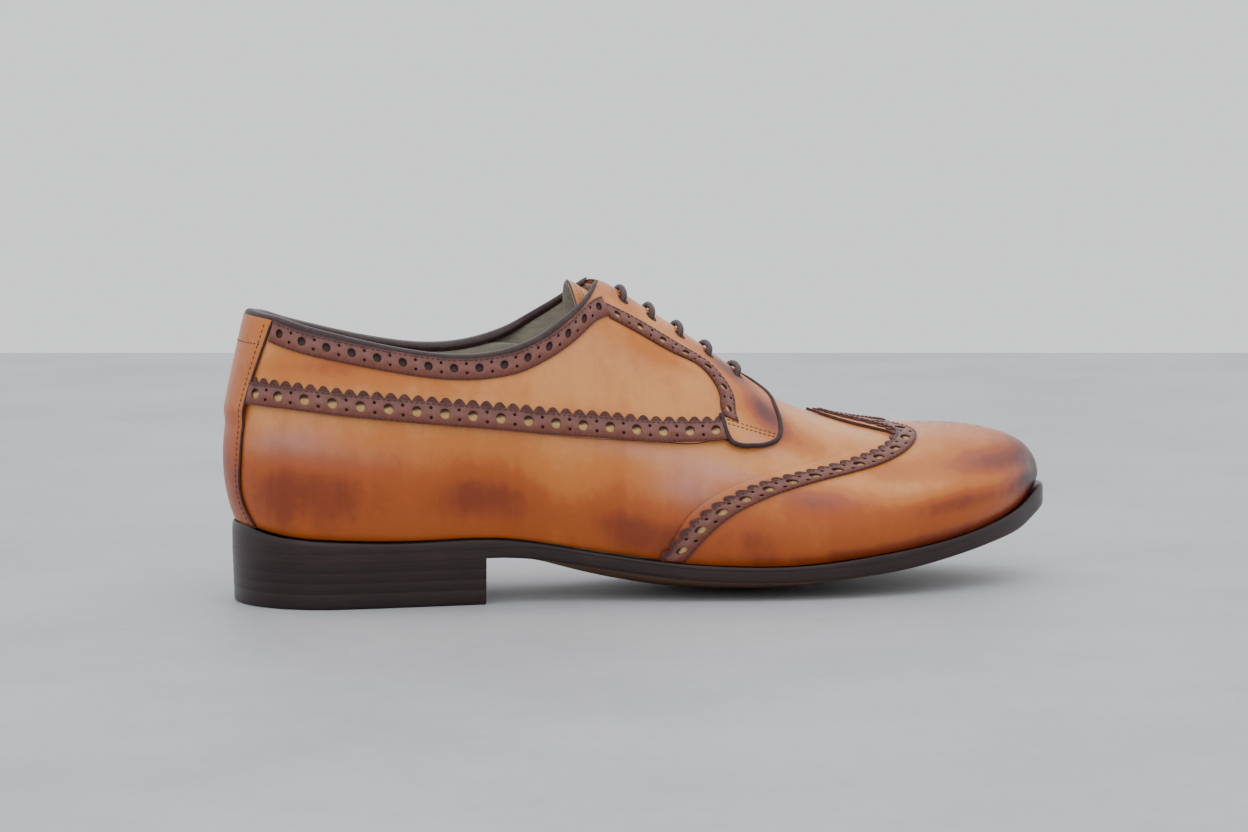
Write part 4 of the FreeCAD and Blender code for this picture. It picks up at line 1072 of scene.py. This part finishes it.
def makeLinings():
    for tag, turn in (("lateral", False), ("medial", True)):
        low = trace([(46, 0.0), (90, 0.0), (150, 0.0), (196, 0.0)])
        high = trace([(46, 0.671), (69.9, 0.638), (94.1, 0.615), (112.4, 0.634), (121, 0.652), (132, 0.662),
                      (146, 0.660), (160, 0.645), (178, 0.620), (196, 0.590)])
        stayLow = trace([(116, 0.600), (128, 0.630), (142, 0.650), (158, 0.665), (172, 0.690), (186, 0.720),
                         (198, 0.765), (205, 0.800)])
        stayHigh = trace([(112.4, 0.635), (120.1, 0.657), (127.9, 0.688), (136.1, 0.734), (144.8, 0.799),
                          (149.8, 0.856), (153.5, 0.920), (160, 0.956), (172, 0.957), (200, 0.957),
                          (211, 0.957)])
        if turn:
            low, high, stayLow, stayHigh = (mirrorLine(q) for q in (low, high, stayLow, stayHigh))
        made = sheetBetween("quarter_lining_" + tag + "_leather", low, high, 90, 40, liningIn, liningOut,
                            [greyLining], tone=None)
        hold(made, "shoe", ["quarter_lining_" + tag])
        made = sheetBetween("facing_stay_" + tag + "_leather", stayLow, stayHigh, 90, 16, stayIn, stayOut,
                            [greyLining], tone=None)
        hold(made, "shoe", ["facing_stay_" + tag])
    low = trace([(-45.7, 0.0), (0, 0.0), (45.7, 0.0)])
    high = trace([(-45.7, 0.670), (-25, 0.702), (0, 0.723), (25, 0.702), (45.7, 0.670)])
    made = sheetBetween("heel_grip_suede", low, high, 60, 40, liningIn, liningOut, [brownSuede], tone=None)
    hold(made, "shoe", ["heel_grip"])

    def where(a, b):
        w = -1 + 2 * a
        tip = half - 3.0
        edge = 198.5 + 26.0 * (1 - ease(np.abs(w), 0.37, 0.52))
        return tip + (edge - tip) * b ** 1.2, w

    made = bentSheet("vamp_lining_leather", lambda a, b: over(*where(a, b), liningIn), 70, 40, 0.8 * mm,
                     [greyLining], lambda a, b: over(*where(a, b), 1) - over(*where(a, b), 0), None)
    hold(made, "shoe", ["vamp_lining"])


makeVamp()
makeCap()
makeQuarters()
print("upper leather laid")
makeStrips()
print("strips punched and stitched")
makeBackStrip()
makeBindings()
makeTongue()
makeLinings()
print("bindings, tongue and linings made")


# punched toe pattern: a rosette inside two rings of dots, all sizes in mm
def makeMedallion():
    look = {"middle": 295.0, "heart": 0.8, "petal": 0.5, "dot": 0.45, "petals": 6, "petalRing": 3.4,
            "rings": [(8.0, 5.5, 14), (14.0, 10.0, 24)]}
    dots = [(0.0, 0.0, look["heart"])]
    for i in range(look["petals"]):
        q = 2 * math.pi * i / look["petals"]
        dots.append((look["petalRing"] * math.cos(q), look["petalRing"] * math.sin(q), look["petal"]))
    for long, wide, count in look["rings"]:
        for i in range(count):
            q = 2 * math.pi * (i + 0.5) / count
            dots.append((long * math.cos(q), wide * math.sin(q), look["dot"]))
    sides = 12
    turn = np.linspace(0, 2 * math.pi, sides, endpoint=False)
    points, faces, kinds = [], [], []
    for x, y, r in dots:
        s = look["middle"] + x
        wide = np.linalg.norm(over(s, 0.01) - over(s, -0.01)) / 0.02 / mm     # mm for a whole share
        start = len(points)
        for reach, high in ((0.0, 0.725), (1.05, 0.735), (1.2, 0.75), (1.75, 0.75), (2.3, 0.69)):
            points += list(over(s + r * reach * np.cos(turn), (y + r * reach * np.sin(turn)) / wide, high))
        faces += discFaces(start, 4, sides)
        kinds += [0] * sides + [1] * 3 * sides      # pale floor, then the dark rim
    made = meshObject("toe_medallion", points, faces, [paleDot, dotRim])
    for polygon, kind in zip(made.data.polygons, kinds):
        polygon.material_index = kind
    made.data.update()
    out = Vector(over(look["middle"], 0.0, 5.0) - over(look["middle"], 0.0, 0.0))
    if made.data.polygons[30].normal.dot(out) < 0:
        made.data.flip_normals()
    hold(made, "shoe", ())


makeMedallion()


# bottom
outline = [(306, 5), (303.4, -3.6), (296.6, -12.2), (285.4, -23.2), (268, -35), (250, -42.8), (230, -48),
           (210, -50.5), (190, -50), (165, -46), (140, -39.5), (115, -34), (88, -33), (60, -34), (35, -34),
           (17, -29.6), (4.9, -17.4), (0, 0), (4.9, 17.4), (17, 29.6), (35, 34), (60, 33.5), (88, 29.5),
           (115, 26), (140, 29), (165, 36.5), (190, 43.5), (210, 47), (230, 47.5), (250, 44.5),
           (268, 39.6), (285.6, 31.2), (296.6, 22.0), (303.4, 13.6)]
feather = Curve([(-8, 29.3), (1.5, 29.0), (6.7, 27.2), (19, 25.0), (35, 23.9), (62, 23.2), (90, 23.3),
                 (118, 19.2), (146, 14.9), (172, 12.8), (198, 12.7), (222, 14.9), (246, 17.9), (266, 21.4),
                 (282, 25.3), (293, 29.3), (299.5, 33.0), (308, 36.5)])
sideOuter = Curve([(-10, -34), (60, -34), (88, -33), (115, -34), (140, -39.5), (165, -46), (190, -50),
                   (210, -50.5), (230, -48), (250, -42.5), (268, -34), (285, -24), (310, -14)])
sideInner = Curve([(-10, 34), (60, 33.5), (88, 29.5), (115, 26), (140, 29), (165, 36.5), (190, 43.5),
                   (210, 47), (230, 47.5), (250, 44.5), (268, 38.5), (285, 31), (310, 24)])
soleEdge = Curve([(-10, 16.64), (20, 16.64), (50, 16.64), (75, 16.64), (90, 16.6), (97, 16.3),
                  (111, 14.7), (125, 12.4), (139, 10.3), (153, 8.4), (174, 7.0), (196, 6.8), (219, 7.9),
                  (235.5, 9.4), (252.6, 12.1), (271, 15.5), (281, 17.6), (291, 20.6), (300, 25.0),
                  (312, 29.0)])
camber = Curve([(-10, 0), (40, 0), (80, 0), (92, 0.5), (105, 2.0), (125, 4.5), (150, 6.0), (174, 6.5),
                (196, 6.65), (219, 5.5), (236, 4.6), (252, 3.8), (271, 3.0), (285, 2.2), (300, 1.0),
                (312, 0.6)])


def spread(x, y):
    lo, hi = sideOuter(x), sideInner(x)
    u = (y - (lo + hi) / 2) / ((hi - lo) / 2)
    return 1 - np.minimum(u * u, 1.6)


def belly(x, y):
    return np.maximum(camber(x), 0) * ease(x, 84, 96) * spread(x, y)


def soleUnder(x, y):
    return soleEdge(x) - belly(x, y)


def outsoleTop(x, y):
    return soleUnder(x, y) + 4.0 - 0.7 * (1 - ease(x, 86, 112))


def weltTop(x, y):
    return feather(np.minimum(x, 303.0)) - 0.3 + 0 * y


def insoleTop(x, y):
    return weltTop(x, y) + 1.3 - 0.35 * belly(x, y)


# smooth closed line through the outline's points, at even steps
def closedCurve(points, count):
    p = np.array(points, float)
    wrap = np.concatenate([p[-4:], p, p[:5]])
    along = runLength(wrap)
    cx, cy = Curve(list(zip(along, wrap[:, 0]))), Curve(list(zip(along, wrap[:, 1])))
    where = np.linspace(along[4], along[4 + len(p)], 1200, endpoint=False)
    fine = np.stack([cx(where), cy(where)], 1)
    fine = np.concatenate([fine, fine[:1]])
    total = runLength(fine)
    even = np.linspace(0, total[-1], count, endpoint=False)
    return np.stack([np.interp(even, total, fine[:, 0]), np.interp(even, total, fine[:, 1])], 1)


def insetLoop(loop, inset):
    ahead, behind = np.roll(loop, -1, 0), np.roll(loop, 1, 0)
    d = ahead - behind
    d /= np.linalg.norm(d, axis=1, keepdims=True)
    return loop + inset * np.stack([d[:, 1], -d[:, 0]], 1)


def inRow(x, y, z):
    return (np.stack([x, y, z], -1) + origin) * mm


# a flat layer cut to a loop: rings are (inset, height share) from the bottom edge to the top edge
def plate(name, loop, under, above, rings, materials, spacing=4.0, softness=None):
    n = len(loop)
    points, faces, kinds = [], [], []

    def edgeRing(inset):
        return insetLoop(loop, inset if softness is None else inset * softness(loop[:, :1]))

    for inset, share in rings:
        ring = edgeRing(inset)
        lo, hi = under(ring[:, 0], ring[:, 1]), above(ring[:, 0], ring[:, 1])
        points.append(inRow(ring[:, 0], ring[:, 1], lo + (hi - lo) * share))
    for i in range(len(rings) - 1):
        for j in range(n):
            k = (j + 1) % n
            faces.append((i * n + k, i * n + j, (i + 1) * n + j, (i + 1) * n + k))
            kinds.append(0)
    for which, heights, kind in ((0, under, 1), (len(rings) - 1, above, 0)):
        ring = edgeRing(rings[which][0])
        xs = np.arange(ring[:, 0].min(), ring[:, 0].max(), spacing)
        ys = np.arange(ring[:, 1].min(), ring[:, 1].max(), spacing)
        spots = np.array([(x, y) for x in xs for y in ys])
        spots = spots[insideOf(spots, ring, spacing * 0.45)]
        flat = np.concatenate([ring, spots])
        out = delaunay_2d_cdt([Vector(tuple(p)) for p in flat], [], [list(range(n))], 1, 1e-6)
        base = sum(len(p) for p in points)
        lookup = [sources[0] for sources in out[3]]
        inner = inRow(spots[:, 0], spots[:, 1], heights(spots[:, 0], spots[:, 1]))
        points.append(inner)
        for f in out[2]:
            ids = [which * n + lookup[k] if lookup[k] < n else base + lookup[k] - n for k in f]
            faces.append(tuple(ids if which else ids[::-1]))
            kinds.append(kind)
    made = meshObject(name, np.concatenate(points), faces, materials)
    for polygon, kind in zip(made.data.polygons, kinds):
        polygon.material_index = kind if len(materials) > 1 else 0
    made.data.update()
    volume = sum(p.center.dot(p.normal) * p.area for p in made.data.polygons)
    if volume < 0:
        made.data.flip_normals()
    pick(made)
    bpy.ops.object.shade_smooth_by_angle(angle=math.radians(60))
    return made


def flatAt(z):
    return lambda x, y: z + 0 * np.asarray(x)


def heelFlush(x):
    return 0.04 + 0.96 * ease(x, 84, 94)       # the edge is rounded only ahead of the heel


def makeSole():
    loop = closedCurve(outline, 520)
    rings = [(0.9, 0.0), (0.35, 0.03), (0.08, 0.12), (0.0, 0.3), (0.0, 0.8), (0.05, 1.0)]
    made = plate("outsole_leather", loop, soleUnder, outsoleTop, rings, [inkEdge, soleBottom],
                 softness=heelFlush)
    hold(made, "shoe", ["outsole"])
    rings = [(0.05, 0.0), (0.0, 0.12), (0.0, 0.62), (0.18, 0.86), (0.55, 1.0), (1.2, 1.0), (2.6, 0.90),
             (4.6, 0.84)]
    made = plate("welt_and_rand", loop, lambda x, y: outsoleTop(x, y) + 0.02, weltTop, rings, [inkEdge])
    hold(made, "shoe", ["welt", "heel_rand"])
    seat = insetLoop(loop, 7.3)
    made = plate("insole_and_sock", seat, lambda x, y: insoleTop(x, y) - 1.0,
                 lambda x, y: insoleTop(x, y) + 0.9, [(0.0, 0.0), (0.0, 0.8), (0.5, 1.0)], [greyLining])
    hold(made, "shoe", ["sock_lining"])


heel = {"round": 34.0, "breast": 85.5, "topPiece": 5.6, "firstLift": 5.62, "liftPitch": 3.68,
        "liftThick": 3.67, "lifts": 3}


def heelLoop(inset):
    r, front = heel["round"] - inset, heel["breast"]
    turns = [math.radians(a) for a in range(-90, 91, 6)]
    back = [(heel["round"] - r * math.cos(q), r * math.sin(q)) for q in turns]
    side = [(front, -33.0 + inset), (front * 0.5 + 17, -(r - 0.2))]
    other = [(front * 0.5 + 17, r - 1.4), (front, 29.8 - inset)]
    body = np.array(side + back + other)
    along = runLength(body)
    cx, cy = Curve(list(zip(along, body[:, 0]))), Curve(list(zip(along, body[:, 1])))
    where = np.linspace(0, along[-1], 190)
    curve = np.stack([cx(where), cy(where)], 1)
    breast = np.linspace(curve[-1], curve[0], 42)[1:-1]
    return np.concatenate([curve, breast])


def makeHeel():
    made = plate("heel_top_piece_rubber", heelLoop(0.55), flatAt(0.0), flatAt(heel["topPiece"]),
                 [(1.0, 0.0), (0.4, 0.03), (0.1, 0.12), (0.0, 0.25), (0.0, 0.98), (0.03, 1.0)],
                 [inkHeel, blackRubber])
    hold(made, "shoe", ["heel_top_piece", "top_piece_nails"])
    for i in range(heel["lifts"]):
        base = heel["firstLift"] + i * heel["liftPitch"]
        made = plate("heel_lift_%d_leather" % (i + 1), heelLoop(0.42 - 0.12 * i), flatAt(base),
                     flatAt(base + heel["liftThick"]), [(0.02, 0.0), (0.0, 0.03), (0.0, 0.97), (0.02, 1.0)],
                     [inkHeel])
        hold(made, "shoe", ["heel_lift_%d" % (i + 1)])


makeSole()
makeHeel()
print("sole and heel made")


# lace: straight bars over the gap, crossings underneath
lace = {"radius": 1.15, "pairs": 5, "firstPair": 207.5, "pitch": 11, "holeShare": 0.088}


def makeLace():
    u, o, w = laceUnder, laceOver, lace["holeShare"]
    corners = [over(s, -0.205, u) for s in (167, 183, 199)]
    for i in range(lace["pairs"]):
        s = lace["firstPair"] - lace["pitch"] * i
        corners += [over(s, -w, u), over(s, -w, o), over(s, 0.0, o + 0.45), over(s, w, o), over(s, w, u)]
        if i < lace["pairs"] - 1:
            corners.append(over(s - lace["pitch"] / 2, 0.0, u + 0.35))
    corners += [over(s, 0.205, u) for s in (168, 178, 185)]
    data = bpy.data.curves.new("laceLine", "CURVE")
    data.dimensions = "3D"
    spline = data.splines.new("NURBS")
    spline.points.add(len(corners) - 1)
    for point, corner in zip(spline.points, corners):
        point.co = (*corner, 1)
    spline.order_u, spline.use_endpoint_u = 3, True
    data.resolution_u = 10
    guide = bpy.data.objects.new("laceLine", data)
    bpy.context.collection.objects.link(guide)
    line = guide.to_mesh()
    centre = np.array([tuple(v.co) for v in line.vertices])
    guide.to_mesh_clear()
    bpy.data.objects.remove(guide)
    made = tube("lace_braid", centre, lace["radius"] * mm, braid, 14, uv="braid")
    hold(made, "shoe", ["lace"])


# dark discs laid on the leather at each lace hole: painted shade for the hole's dark opening
def makeLaceHoles():
    sides, share = 20, lace["holeShare"]
    turn = np.linspace(0, 2 * math.pi, sides, endpoint=False)
    points, faces = [], []
    for i in range(lace["pairs"]):
        s = lace["firstPair"] - lace["pitch"] * i
        for side in (-1, 1):
            scale = np.linalg.norm(over(s, side * 0.098) - over(s, side * 0.078)) / 0.02 / mm
            start = len(points)
            for reach, high in ((0.0, 0.71), (1.45, 0.73), (1.75, 0.78), (2.0, 0.69)):
                across = side * share + reach * np.sin(turn) / scale
                points += list(over(s + reach * np.cos(turn), across, high))
            faces += discFaces(start, 3, sides)
    made = meshObject("lace_hole_shade_discs", points, faces, [holeShadeUnderlay])
    if made.data.polygons[25].normal.z < 0:
        made.data.flip_normals()
    hold(made, "shoe", ())


makeLace()
makeLaceHoles()
print("lace laid")


# inner pieces that stay as the frame has them
keptLooks = {
    "insole": soleBottom, "insole_rib": plainMaterial("ribCanvas", (0.62, 0.56, 0.46), 0.8),
    "cork_filler": plainMaterial("cork", (0.42, 0.26, 0.13), 0.85, 0.0, 350.0, 0.6),
    "shank": plainMaterial("springSteel", (0.5, 0.51, 0.53), 0.35, 1.0),
    "heel_nails": plainMaterial("nailBrass", (0.62, 0.45, 0.18), 0.35, 1.0),
    "toe_puff": plainMaterial("leatherboard", (0.46, 0.36, 0.25), 0.8),
    "aglet_lateral": plainMaterial("agletMetal", (0.30, 0.21, 0.12), 0.35, 1.0),
}
keptLooks["heel_counter"] = keptLooks["toe_puff"]
keptLooks["aglet_medial"] = keptLooks["aglet_lateral"]
for name, material in keptLooks.items():
    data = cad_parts[name].data
    data.materials.clear()
    data.materials.append(material)


# floor, light and camera
def makeStage():
    material, tree, shader = newMaterial("paleFloor")
    cloud = noise(tree, 7, 6, 0.62)
    fine = noise(tree, 120, 4, 0.7)
    tone = math2(tree, "ADD", math2(tree, "MULTIPLY", cloud, 0.7), math2(tree, "MULTIPLY", fine, 0.3))
    tree.links.new(ramp(tree, tone, [(0.3, (0.42, 0.435, 0.46)), (0.7, (0.53, 0.54, 0.56))]),
                   shader.inputs["Base Color"])
    setLook(shader, {"Roughness": 0.55})
    bump(tree, shader, fine, 0.25, 0.0008)
    bpy.ops.object.select_all(action="DESELECT")
    turn = math.radians(-14)
    back = 1.07 - 2.5
    bpy.ops.mesh.primitive_plane_add(size=5, location=(-math.sin(turn) * back, math.cos(turn) * back, 0),
                                     rotation=(0, 0, turn))
    floor = bpy.context.active_object
    floor.name = "floor"
    floor.data.materials.append(material)


def addLight(name, place, target, size, power, colour=(1, 1, 1)):
    data = bpy.data.lights.new(name, "AREA")
    data.shape, data.size, data.size_y = "RECTANGLE", size[0], size[1]
    data.energy, data.color = power, colour
    made = bpy.data.objects.new(name, data)
    bpy.context.collection.objects.link(made)
    made.location = place
    made.rotation_euler = (Vector(target) - Vector(place)).to_track_quat("-Z", "Y").to_euler()


def makeLights():
    world = bpy.data.worlds.new("studio")
    bpy.context.scene.world = world
    world.use_nodes = True
    world.node_tree.nodes["Background"].inputs[0].default_value = (0.96, 0.975, 1.0, 1)
    world.node_tree.nodes["Background"].inputs[1].default_value = 1.12
    addLight("overhead", (0.0, -0.3, 1.9), (0, 0, 0), (2.4, 1.8), 12)
    addLight("front", (-0.7, -1.7, 1.1), (0, 0, 0.05), (1.4, 0.9), 4)
    addLight("back", (0.6, 1.3, 1.2), (0, 0, 0.05), (1.6, 0.7), 4)


def makeCamera():
    shot = {"azimuth": -14.0, "elevation": 5.5, "distance": 1.5, "widthSeen": 0.45552,
            "shift": (-0.020032, 0.001603), "sensor": 36}
    target = Vector(((153 + origin[0]) * mm, origin[1] * mm, 62 * mm))
    az, el = math.radians(shot["azimuth"]), math.radians(shot["elevation"])
    away = Vector((math.sin(az) * math.cos(el), -math.cos(az) * math.cos(el), math.sin(el)))
    data = bpy.data.cameras.new("camera")
    data.sensor_width = shot["sensor"]
    data.lens = shot["sensor"] * shot["distance"] / shot["widthSeen"]      # metres across at the shoe
    data.shift_x, data.shift_y = shot["shift"]
    data.clip_start, data.clip_end = 0.05, 30
    made = bpy.data.objects.new("camera", data)
    bpy.context.collection.objects.link(made)
    made.location = target + away * shot["distance"]
    made.rotation_euler = (-away).to_track_quat("-Z", "Y").to_euler()
    bpy.context.scene.camera = made


makeStage()
makeLights()
makeCamera()
print("stage, lights and camera set")
